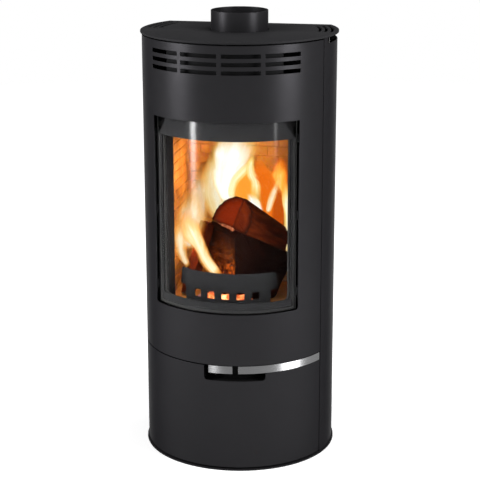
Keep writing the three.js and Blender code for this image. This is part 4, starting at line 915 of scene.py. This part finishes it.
def rope_seal():
    """The braided rope behind the window's frame, run round its opening."""
    lo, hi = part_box("fuel_door_rope_seal")
    outer, half_width, step = -lo.y, 5.5 * MM, 8 * MM
    middle = outer - 3.8 * MM
    half = math.degrees(math.asin(hi.x / outer)) - math.degrees(half_width / outer)
    corners = opening(middle, -half, half, lo.z + half_width, hi.z - half_width, 14 * MM)
    path = []
    for i, end in enumerate(corners):
        start = corners[i - 1]
        count = max(1, round((end - start).length / step))
        path += [start.lerp(end, (k + 1) / count) for k in range(count)]
    mesh = bpy.data.meshes.new("rope line")
    mesh.from_pydata([polar(middle, math.degrees(p.x / middle), p.y) for p in path],
                     [(i, (i + 1) % len(path)) for i in range(len(path))], [])
    line = new_object("rope line", mesh)
    bm = bmesh.new()
    bmesh.ops.create_uvsphere(bm, u_segments=8, v_segments=6, radius=1,
                              matrix=Matrix.Diagonal((3.6 * MM, 3.2 * MM, 7.5 * MM, 1)))
    strand = mesh_object("rope strand", bm)
    rope = BRAID.make("window_rope_seal", Line=line, Pitch=3.4 * MM, Slant=math.radians(38), Piece=strand,
                      Material=ROPE)
    discard(line, strand)
    carry(finished(rope, 0, False), "fuel_door", "glass_rope", "fuel_door_rope_seal")


def storage_door():
    bottom, top = low("storage_door_skin").z, high("storage_door_skin").z
    pocket, bar_cut = BAR_LOW - 21 * MM, BAR_LOW - 1.5 * MM
    ends = along(BODY, DOOR_HALF)
    left, right = along(BODY, -10), along(BODY, 26.7)
    outline = rounded([
        (-ends, bottom, 0), (ends, bottom, 0), (ends, bar_cut, 0), (right, bar_cut, 2 * MM),
        (right, pocket, 8 * MM), (left, pocket, 8 * MM), (left, top, 1 * MM), (-ends, top, 0)])
    skin = bent_sheet("storage_door_panel", BODY, DOOR_INNER, outline, [], CASING)
    carry(skin, "storage_door", "casing_paint", "storage_door_skin")


def handles():
    for name, body, start, end, node in (
        ("handle_strip", "door_handle", 10.5, 67.2, "handle_bar"),
        ("air_slider_knob", "air_control", -7.2, 7.2, "air_knob"),
    ):
        strip = bent_panel(name, BAR_OUTER, BAR_INNER, start, end, BAR_LOW, BAR_HIGH, STEEL, edge=0.5 * MM)
        carry(strip, body, "polished_steel", node)
    lo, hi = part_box("finger_trough")
    outer = DOOR_INNER - 2.5 * MM
    trough = bent_panel("finger_trough_back", outer - 30 * MM, outer - 32 * MM, -12.8, 29.5, lo.z, hi.z,
                        INNER)
    carry(trough, "casing", "inner_paint")


# ---------------------------------------------------------------- firebox seen through the window
def firebox_front():
    lo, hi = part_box("firebox_front_frame")
    side = along(FRONT_OUTER, math.degrees(math.asin(hi.x / FRONT_OUTER)))
    ash, ash_top = along(FRONT_OUTER, 40), 0.395
    fire = opening(FRONT_OUTER, -45.3, 45.3, 0.441, 0.887, 4 * MM)
    outline = rounded([
        (-side, lo.z, 0), (-ash, lo.z, 0), (-ash, ash_top, 4 * MM), (ash, ash_top, 4 * MM), (ash, lo.z, 0),
        (side, lo.z, 0), (side, hi.z, 0), (-side, hi.z, 0)])
    frame_sheet = bent_sheet("fire_room_front", FRONT_OUTER, FRONT_INNER, outline, [fire], SOOTED)
    carry(frame_sheet, "casing", "inner_paint", "firebox_front_frame")

    lo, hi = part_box("log_guard")
    band, hole_half, hole_pitch = hi.z - 46 * MM, 3, 12
    foot, wide, crown = (along(GUARD_OUTER, degrees) for degrees in (36.6, 43.4, 41.4))
    outline = rounded([
        (-foot, lo.z, 0), (foot, lo.z, 0), (foot, band, 3 * MM), (wide, band, 3 * MM), (crown, hi.z, 8 * MM),
        (-crown, hi.z, 8 * MM), (-wide, band, 3 * MM), (-foot, band, 3 * MM)])
    holes = [opening(GUARD_OUTER, a - hole_half, a + hole_half, band - 24 * MM, band - 4 * MM, 2 * MM)
             for a in ((i - 2) * hole_pitch for i in range(5))]
    guard = bent_sheet("log_guard_plate", GUARD_OUTER, GUARD_OUTER - 3 * MM, outline, holes, INNER)
    carry(guard, "casing", "inner_paint", "log_guard")

    lo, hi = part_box("louvre_baffle")
    screen = -lo.y
    sheet = bent_panel("louvre_screen", screen, screen - 2 * MM, -39, 39, lo.z, hi.z, INNER)
    carry(sheet, "casing", "inner_paint", "louvre_baffle")


def brick_board(name, width, height, matrix, node):
    """A lining board moulded as courses of bricks. It is drawn lying, its face up, and then stood up."""
    course, length, joint, proud, margin = 26 * MM, 62 * MM, 2.2 * MM, 2 * MM, 0.6 * MM
    bm = bmesh.new()
    bmesh.ops.create_cube(bm, size=1, matrix=Matrix.Diagonal((length - joint, course - joint, 2 * proud, 1)))
    bmesh.ops.bevel(bm, geom=bm.edges[:], offset=0.8 * MM, segments=2, affect="EDGES", profile=0.6)
    block = mesh_object("moulded brick", bm)
    columns, rows = math.ceil(width / length) + 2, math.ceil(height / course)
    bricks = ROWS.make(f"{name}_courses", Columns=columns, Rows=rows, Column_Pitch=length, Row_Pitch=course,
                       Row_Shift=length / 2, Piece=block, Material=BRICK)
    bm = bmesh.new()
    bm.from_mesh(bricks.data)
    discard(block, bricks)
    for axis, reach in ((0, width / 2 - margin), (1, height / 2 - margin)):
        for side in (-1, 1):
            at, out = [0, 0, 0], [0, 0, 0]
            at[axis], out[axis] = side * reach, side
            parts = bm.verts[:] + bm.edges[:] + bm.faces[:]
            cut = bmesh.ops.bisect_plane(bm, geom=parts, plane_co=at, plane_no=out, clear_outer=True)
            rim = [e for e in cut["geom_cut"] if isinstance(e, bmesh.types.BMEdge)]
            bmesh.ops.holes_fill(bm, edges=rim, sides=0)
    for v in bm.verts:
        v.co.z -= 2 * proud
    depth = 22 * MM - 2 * proud
    box_into(bm, (0, 0, -2.2 * proud - depth / 2), (width, height, depth))
    obj = mesh_object(name, bm, [BRICK])
    carry(finished(settled(obj, matrix), 0, False), "casing", "fire_brick", node)


def fire_bricks():
    lo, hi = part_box("right_fire_brick")
    height, depth = hi.z - lo.z, hi.y - lo.y
    middle = Vector(((lo + hi) / 2))
    for side, name in ((1, "right"), (-1, "left")):
        turn = Matrix(((0, 0, -side, 0), (side, 0, 0, 0), (0, 1, 0, 0), (0, 0, 0, 1)))
        at = Matrix.Translation((side * lo.x, middle.y, middle.z))
        brick_board(f"{name}_lining_board", depth, height, at @ turn, f"{name}_fire_brick")
    lo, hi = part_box("back_fire_brick")
    stand = Matrix(((1, 0, 0, 0), (0, 0, -1, 0), (0, 1, 0, 0), (0, 0, 0, 1)))
    at = Matrix.Translation(((lo.x + hi.x) / 2, lo.y, (lo.z + hi.z) / 2))
    brick_board("back_lining_board", hi.x - lo.x, hi.z - lo.z, at @ stand, "back_fire_brick")


# ---------------------------------------------------------------- firewood, embers and flames
def stood(place, heading, lean):
    """A log's place, in millimetres, and how it lies there, in degrees."""
    turn = Matrix.Rotation(math.radians(heading), 4, "Z") @ Matrix.Rotation(math.radians(lean), 4, "Y")
    return Matrix.Translation(Vector(place) * MM) @ turn


def split_log(name, section, size, stand, sawn, taper, regions, charred, seed, node):
    """A split log along its own X, about the middle of its underside. section holds corners in shares of
    the width and height, regions says for each side whether it is bark (0) or a split face (0.5), sawn is
    how far its near end is cut off square, in degrees, and taper the height of its far end in shares of
    its near end's. The ends' region is 1. charred is how burnt its sides and its ends are, from 0 to 1."""
    width, height, length = (value * MM for value in size)
    corners = [Vector((y * width, z * height)) for y, z in section]
    middle = Vector((0, height / 2))
    skew = math.tan(math.radians(sawn))
    ring, kinds, arcs = [], [], []
    run = 0.0
    for i, corner in enumerate(corners):
        way = corners[(i + 1) % len(corners)] - corner
        count = max(2, round(way.length / (4 * MM)))
        for k in range(count):
            ring.append(corner.lerp(corner + way, k / count))
            kinds.append(regions[i])
            arcs.append(run + way.length * k / count)
        run += way.length
    arcs.append(run)
    stations = max(8, round(length / (5 * MM)))
    bm = bmesh.new()
    uv, cut = (bm.loops.layers.uv.new(layer) for layer in ("grain", "cut"))
    region, burnt = (bm.faces.layers.float.new(layer) for layer in ("region", "charred"))
    rim = bm.verts.layers.float.new("rim")
    rows = []
    for s in range(stations + 1):
        far = s / stations
        x = length * (far - 0.5)
        row = []
        for point, kind, at in zip(ring, kinds, arcs):
            rough = noise.noise(Vector((x * 6, at * 60, seed * 7.0))) * (3.2 if kind == 0 else 1.6) * MM
            rough += noise.noise(Vector((x * 14, point.x * 9, point.y * 9 + seed))) * 5 * MM
            spot = point + (point - middle).normalized() * min(rough, 1.0 * MM)
            ragged = noise.noise(Vector((at * 120, seed, s))) * 3 * MM if s in (0, stations) else 0.0
            slant = skew * spot.x * (1 - far)
            row.append(bm.verts.new((x + ragged + slant, spot.x, spot.y * (1 + (taper - 1) * far))))
        rows.append(row)
    for s, (near, far) in enumerate(zip(rows, rows[1:])):
        for k, face in enumerate(bridge(bm, near, far)):
            face[region] = kinds[k]
            for loop, (si, ki) in zip(face.loops, ((s, k), (s, k + 1), (s + 1, k + 1), (s + 1, k))):
                loop[uv].uv = (length * si / stations, arcs[ki])
    barks, steps = [], 7
    for outer in (rows[0], rows[-1]):
        centre = sum((v.co for v in outer), Vector()) / len(outer)
        shells = [outer]
        for share in (1 - step / steps for step in range(1, steps)):
            shell = []
            for v in outer:
                spot = centre + (v.co - centre) * share
                spot.x += noise.noise(spot * 70 + Vector((0, 0, seed))) * 2.4 * MM * (1 - share)
                shell.append(bm.verts.new(spot))
            shells.append(shell)
        barks.append(shells[1])
        tip = bm.verts.new(centre)
        for near, far in zip(shells, shells[1:]):
            for face in bridge(bm, near, far):
                face[region] = 1.0
        for k, v in enumerate(shells[-1]):
            bm.faces.new((v, shells[-1][(k + 1) % len(outer)], tip))[region] = 1.0
    bm.normal_update()
    for face in bm.faces:
        at_end = face[region] == 1.0
        face[burnt] = charred[int(at_end)]
        for loop in face.loops:
            co = loop.vert.co
            loop[cut].uv = (co.y, co.z) if at_end else (1.0, 1.0)
            if at_end:
                loop[uv].uv = (math.atan2(co.z, co.y) * 0.02, Vector((co.y, co.z - 0.25 * height)).length)
    for row, burn in ((rows[0], 1.0), (rows[-1], 1.0), *((shell, 0.5) for shell in barks)):
        for v in row:
            v[rim] = burn
    bmesh.ops.recalc_face_normals(bm, faces=bm.faces)
    obj = settled(mesh_object(name, bm, [WOOD]), stand)
    return carry(finished(obj, 0, False), "casing", "firewood", node)


def firewood():
    bark, split = 0.0, 0.5
    slope_angle = 26
    width, height = 166, 200
    foot = 1 - math.tan(math.radians(slope_angle)) * width / height
    wedge = [(-0.4, 0), (0.22, 0), (0.5, 0.44), (0.5, foot), (-0.4, 0.9 + foot / 10), (-0.5, 0.9),
             (-0.5, 0.06)]
    half_round = [(-0.5, 0.02), (-0.46, 0), (0.46, 0), (0.5, 0.04), (0.48, 0.35), (0.36, 0.72), (0.12, 0.96),
                  (-0.14, 1), (-0.38, 0.78), (-0.5, 0.4)]
    slim = [(-0.5, 0), (0.5, 0), (0.5, 0.6), (0, 1), (-0.5, 0.6)]
    bed = low("lower_log").z / MM
    split_log("lower_firewood_log", wedge, (width, height, 162), stood((32.6, -47.1, bed), -50, 0), 0, 1,
              [bark] * 3 + [split] + [bark] * 3, (0.4, 0.95), 3, "lower_log")
    upper = stood((50, -85, 597.1), 40, slope_angle)
    split_log("upper_firewood_log", half_round, (104, 86, 156), upper, -27, 0.66,
              [split] * 3 + [bark] * 4 + [split] * 3, (0.3, 0.1), 5, "upper_log")
    splinters(upper)
    split_log("small_firewood_log", slim, (38, 34, 200), stood((-90.5, -74.5, 525.1), 40, -72), 0, 1,
              [split] * 5, (0.0, 0.0), 8, "small_log")


def splinters(log):
    """The torn fringe along the foot of the upper log's near end."""
    bm = bmesh.new()
    bmesh.ops.create_cone(bm, cap_ends=True, segments=5, radius1=0.32, radius2=0.05, depth=1.0)
    sliver = mesh_object("sliver", bm)
    fringe = HEAP.make("splinter_fringe", Width=0.085, Depth=0.007, Density=110000.0, Smallest=0.004,
                       Largest=0.010, Seed=3, Piece=sliver, Material=SPLINTER_WOOD_PAINTED_FIRELIGHT)
    discard(sliver)
    foot = Matrix.Translation((-84 * MM, 0, 1 * MM)) @ Matrix.Rotation(math.radians(90), 4, "Z")
    carry(finished(settled(fringe, log @ foot), 0, False), "casing", "firewood")


def ember_bed():
    """A heap of embers under the logs, and a drift of them against the log guard."""
    bm = bmesh.new()
    bmesh.ops.create_icosphere(bm, subdivisions=2, radius=0.5)
    for v in bm.verts:
        v.co *= 1 + 0.5 * noise.noise(v.co * 2.1)
        v.co.z *= 0.75
    lump = mesh_object("ember lump", bm)
    inside_guard = GUARD_OUTER - 4 * MM
    for name, width, depth, density, smallest, largest, seed, place in (
        ("ember_bed", 0.10, 0.10, 9000.0, 0.008, 0.020, 4, (-0.02, -0.02, FLOOR_TOP + 0.006)),
        ("ember_drift", 0.13, 0.035, 20000.0, 0.012, 0.026, 9, (-0.005, -0.158, FLOOR_TOP + 0.016)),
    ):
        heap = HEAP.make(name, Width=width, Depth=depth, Density=density, Smallest=smallest,
                         Largest=largest, Seed=seed, Piece=lump, Material=EMBER)
        settled(heap, Matrix.Translation(place))
        for v in heap.data.vertices:
            reach = v.co.xy.length
            if reach > inside_guard:
                v.co.xy *= inside_guard / reach
        carry(finished(heap, 0, False), "casing", "firewood")
    discard(lump)


def flame_tongue(name, y, path, material):
    """A tongue drawn as (x, z, width) in millimetres from its root to its tip, all at one depth y."""
    across, between, thickness = 12, 6, 10
    stations = [[a + (b - a) * k / between for a, b in zip(here, after)]
                for here, after in zip(path, path[1:]) for k in range(between)] + [list(path[-1])]
    for _ in range(4):
        stations[1:-1] = [[(a + 2 * b + c) / 4 for a, b, c in zip(p, q, r)]
                          for p, q, r in zip(stations, stations[1:], stations[2:])]
    last = len(stations) - 1

    def spot(side, i, k):
        x, z, width = stations[i]
        before, after = stations[max(i - 1, 0)], stations[min(i + 1, last)]
        way = Vector((after[0] - before[0], 0, after[1] - before[1])).normalized()
        u = 2 * k / across - 1
        bulge = side * thickness / 2 * math.sqrt(max(0.0, 1 - u * u))
        wave = 8 * math.sin(i * 0.35 + u * 2)
        return (Vector((x, y + bulge + wave * u, z)) + Vector((way.z, 0, -way.x)) * (u * width / 2)) * MM

    bm = bmesh.new()
    uv = bm.loops.layers.uv.new("tongue")
    front = [[bm.verts.new(spot(-1, i, k)) for k in range(across + 1)] for i in range(last + 1)]
    behind = [[row[k] if k in (0, across) else bm.verts.new(spot(1, i, k)) for k in range(across + 1)]
              for i, row in enumerate(front)]
    for sheet in (front, behind):
        for i in range(last):
            for k in range(across):
                quad = [(i, k), (i, k + 1), (i + 1, k + 1), (i + 1, k)]
                if sheet is behind:
                    quad.reverse()
                face = bm.faces.new([sheet[a][b] for a, b in quad])
                for loop, (a, b) in zip(face.loops, quad):
                    loop[uv].uv = (b / across, a / last)
    for i in (0, last):
        for k in range(across):
            corners = dict.fromkeys((front[i][k], front[i][k + 1], behind[i][k + 1], behind[i][k]))
            if len(corners) > 2:
                for loop in bm.faces.new(list(corners)).loops:
                    loop[uv].uv = (0.0, float(i > 0))
    bmesh.ops.recalc_face_normals(bm, faces=bm.faces)
    obj = mesh_object(name, bm, [material])
    obj.data.shade_smooth()
    return carry(obj, "casing", "firewood")


# Each tongue: its name, its material's name, its depth, (x, z, width) from root to tip, and the other
# values of flame() in their order.
TONGUES = (
    ("haze_flame", "haze", 50, ((-135, 540, 51), (-128, 592, 68), (-122, 655, 68), (-122, 717, 56),
        (-119, 773, 22)), SOFT, 1.0, 4.4, 1.0, 0.4, 0.9),
    ("right_glow_flame", "right glow", 50, ((89, 649, 50), (95, 688, 66), (97, 727, 66), (100, 761, 44),
        (102, 788, 14)), WARM, 1.15, 7.7, 0.7, 0.9, 0.8),
    ("glow_flame", "amber glow", 56, ((-50, 590, 60), (-62, 630, 100), (-72, 670, 124), (-76, 712, 120),
        (-74, 750, 96), (-70, 790, 50)), SOFT, 1.0, 6.9, 0.5, 0.7, 0.9),
    ("veil_flame", "pale veil", 48, ((-60, 608, 39), (-70, 641, 75), (-76, 675, 100), (-75, 714, 100),
        (-66, 752, 90), (-58, 791, 80), (-52, 852, 74)), PALE, 0.9, 3.1, 0.4, 0.9, 1.0),
    ("core_flame", "white core", 40, ((-39, 648, 33), (-45, 681, 58), (-48, 715, 84), (-43, 743, 102),
        (-32, 771, 122), (-19, 799, 136), (-10, 827, 140), (-5, 868, 132)),
        WHITE_HOT, 1.3, 1.7, 0.4, 1.0, 1.0),
    ("hollow_flame", "hollow flame", 25, ((14, 651, 50), (11, 679, 72), (11, 707, 72), (11, 732, 55),
        (20, 757, 25)), HOLLOW, 1.15, 6.2, 0.3, 1.0, 0.6),
    ("foot_flame", "white foot", 20, ((51, 632, 22), (43, 654, 41), (29, 673, 39), (15, 691, 14)),
        WHITE_HOT, 1.15, 3.7, 0.4, 1.0, 0.8),
    ("orange_flame", "orange flame", 15, ((85, 602, 33), (82, 635, 49), (77, 671, 60), (71, 704, 66),
        (63, 734, 65), (52, 761, 49), (38, 790, 16)), DEEP, 1.1, 5.3, 0.3, 1.0, 0.7),
    ("left_rim_flame", "left rim", 8, ((-26, 673, 22), (-24, 701, 25), (-13, 729, 30), (9, 752, 30),
        (28, 775, 25), (39, 800, 11)), RIM, 1.15, 2.3, 0.25, 0.85, 1.0),
    ("right_rim_flame", "right rim", 8, ((31, 794, 11), (27, 764, 27), (31, 742, 32), (40, 726, 34),
        (43, 707, 34), (42, 685, 36), (52, 647, 32)), RIM, 1.1, 4.9, 0.25, 0.9, 1.0),
    ("leaf_flame", "leaf flame", -5, ((103, 591, 22), (105, 628, 41), (108, 658, 43), (107, 686, 35),
        (105, 710, 19), (104, 729, 5)), EMBERED, 1.1, 2.9, 0.3, 1.0, 0.7),
    ("leaf_rim_flame", "leaf rim", -8, ((76, 641, 16), (84, 669, 24), (92, 694, 27), (102, 719, 22),
        (108, 747, 11)), SOFT, 1.05, 6.6, 0.25, 0.8, 1.0),
    ("edge_flame", "edge flame", -30, ((143, 522, 16), (141, 558, 26), (140, 600, 32), (139, 644, 34),
        (134, 688, 34), (131, 720, 26), (122, 752, 11)), HOT, 1.12, 8.1, 0.4, 1.0, 0.8),
    ("low_haze_flame", "low haze", -100, ((-126, 554, 44), (-123, 588, 93), (-120, 621, 104),
        (-111, 660, 92), (-103, 704, 60), (-97, 747, 22)), SOFT, 1.05, 5.9, 0.6, 0.5, 0.9),
    ("low_flame", "low flame", -125, ((-28, 490, 22), (-50, 519, 38), (-69, 545, 40), (-82, 569, 40),
        (-91, 591, 50), (-103, 612, 66), (-112, 633, 62), (-112, 655, 40), (-106, 684, 14)),
        SOFT, 1.2, 9.1, 0.3, 1.0, 0.9),
    ("low_left_flame", "low left flame", -110, ((-119, 510, 16), (-129, 535, 27), (-137, 559, 41),
        (-140, 587, 49), (-139, 614, 44), (-134, 647, 16)), SOFT, 1.05, 2.2, 0.4, 0.8, 1.0),
)


def flames():
    for name, label, y, path, *look in TONGUES:
        flame_tongue(name, y, path, flame(label, *look))


# ---------------------------------------------------------------- finishes of the carried-over pieces


def carried_over():
    for material, nodes in (
        (INNER, "firebox_right_wall firebox_left_wall firebox_back_wall firebox_top hearth_plate grate_shelf "
                "storage_ceiling finger_trough fuel_door_hinge_post storage_door_hinge_post "
                "fuel_door_hinge_leaf storage_door_hinge_leaf latch_shaft_bearings handle_arm "
                "right_glass_clamp left_glass_clamp"),
        (SOOTED, "right_door_post left_door_post"),
        (CASING, "right_brick_retainer left_brick_retainer"),
        (ZINC, "rear_heat_shield air_duct air_intake_spigot fuel_door_hinge_rod storage_door_hinge_rod "
               "latch_keeper air_lever_pivot_bolt latch_shaft air_lever air_damper ash_pan"),
        (IRON, "fire_grate storage_door_magnet"),
        (BRICK, "floor_brick baffle_plate"),
        (TAPE, "glass_sealing_tape"),
    ):
        for node in nodes.split():
            mesh = frame["nodes"][node].data
            mesh.materials.clear()
            mesh.materials.append(material)


# ---------------------------------------------------------------- stage, lamps and camera


def floor():
    """A white floor, seen directly or mirrored, which keeps the stove's shadow; the light that it throws
    back on the stove is a mid grey floor's."""
    f = Finish("pale floor")
    seen = f.looked_at()
    pale = f.mixed(f.grain(3.0, 2.0), (0.80, 0.80, 0.80), (0.82, 0.82, 0.82))
    coords = f.node("TexCoord").outputs["Object"]
    away = f.node("VectorMath", {0: coords}, operation="LENGTH").outputs["Value"]
    f.made(
        Base_Color=f.mixed(seen, (0.24, 0.24, 0.24), pale),
        Roughness=0.9,
        Specular_IOR_Level=0.0,
        Emission_Color=(1, 1, 1, 1),
        Emission_Strength=f.times(seen, f.span(away, 0.35, 1.5, 0.38, 1.0)),
    )
    bm = bmesh.new()
    bmesh.ops.create_circle(bm, cap_ends=True, segments=64, radius=6.0)
    mesh_object("floor", bm, [f.material])


def sky():
    """A backdrop that is white where it is looked at, and lights the stove only faintly."""
    world = bpy.data.worlds.new("plain backdrop")
    bpy.context.scene.world = world
    world.use_nodes = True
    n = Nodes(world.node_tree)
    background = n.nodes["Background"].inputs
    background["Color"].default_value = (1, 1, 1, 1)
    n.feed(background["Strength"], n.span(n.looked_at(), 0.0, 1.0, 0.10, 1.0))


def lamp(name, kind, power, place, **settings):
    """A lamp that neither the camera nor the glass shows."""
    light = bpy.data.lights.new(name, kind)
    for key, value in {"energy": power, **settings}.items():
        setattr(light, key, value)
    obj = new_object(name, light)
    obj.location = place
    obj.visible_camera = obj.visible_transmission = False
    return obj


def softbox(name, azimuth, distance, height, wide, tall, power, aim):
    """A rectangular lamp that faces a point at the height aim on the stove's axis."""
    obj = lamp(name, "AREA", power, polar(distance, azimuth, height), shape="RECTANGLE", size=wide,
               size_y=tall)
    obj.rotation_euler = (Vector((0, 0, aim)) - obj.location).to_track_quat("-Z", "Y").to_euler()
    return obj


def fading(strip):
    """Makes a strip lamp weaker towards its lower end."""
    strip.data.use_nodes = True
    n = Nodes(strip.data.node_tree)
    height = n.parts(n.node("NewGeometry").outputs["Parametric"])["Y"]
    n.feed(n.nodes["Emission"].inputs["Strength"], n.math("POWER", height, 1.9))
    return strip


def only_lights(light, *receivers):
    group = bpy.data.collections.new(f"{light.name} receivers")
    for obj in receivers:
        group.objects.link(obj)
    light.light_linking.receiver_collection = group


def lamps():
    softbox("left softbox", -60, 2.3, 1.6, 1.0, 2.2, 90, 0.8)
    softbox("right softbox", 68, 2.3, 1.6, 1.0, 2.2, 82, 0.8)
    softbox("overhead softbox", 125, 1.1, 3.2, 1.6, 1.6, 22, 0.0)
    shown = bpy.data.objects
    glass = shown["window_glass"]
    only_lights(fading(softbox("window strip", -42.5, 1.6, 0.47, 0.16, 0.50, 240, 0.47)), glass)
    only_lights(fading(softbox("thin window strip", 52.3, 1.6, 0.56, 0.03, 0.34, 20, 0.56)), glass)
    strips = shown["handle_strip"], shown["air_slider_knob"]
    only_lights(softbox("handle strip lamp", 65.5, 0.75, 0.09, 0.26, 0.12, 3.2, 0.28), *strips)
    only_lights(softbox("slider strip lamp", -15, 0.75, 0.09, 0.06, 0.12, 0.35, 0.28), *strips)
    lit = [shown[name] for name in (
        "right_lining_board", "left_lining_board", "back_lining_board", "lower_firewood_log",
        "upper_firewood_log", "small_firewood_log", "ember_bed", "ember_drift")]
    lit += [frame["nodes"][name] for name in ("floor_brick", "baffle_plate")]
    glows = (((-60, 0, 760), 1.2), ((50, 10, 780), 0.18), ((-128, -125, 560), 0.8), ((125, -20, 680), 0.25),
             ((0, -165, 500), 0.3))
    for i, (place, power) in enumerate(glows):
        glow = lamp(f"fire glow {i + 1}", "POINT", power, Vector(place) * MM, color=(1.0, 0.52, 0.10),
                    shadow_soft_size=0.02)
        only_lights(glow, *lit)


def camera():
    """Where the photograph was taken from, as a real lens without shift would see it."""
    lens = bpy.data.cameras.new("camera")
    lens.sensor_width, lens.lens, lens.clip_start = 36, 111.16, 0.1
    obj = new_object("camera", lens)
    around, down, roll = math.radians(11.748), math.radians(15.615), math.radians(-0.106)
    level = math.cos(down)
    forward = Vector((-math.sin(around) * level, math.cos(around) * level, -math.sin(down)))
    right = Vector((math.cos(around), math.sin(around), 0))
    axes = Matrix((right, right.cross(forward), -forward)).transposed().to_4x4()
    stand = Matrix.Translation((0.7874, -3.7860, 1.6425))
    obj.matrix_world = stand @ axes @ Matrix.Rotation(roll, 4, "Z")
    bpy.context.scene.camera = obj


camera()
casing()
fuel_door()
storage_door()
handles()
firebox_front()
fire_bricks()
firewood()
ember_bed()
flames()
carried_over()
floor()
sky()
lamps()
bpy.context.scene.view_settings.view_transform = "Standard"
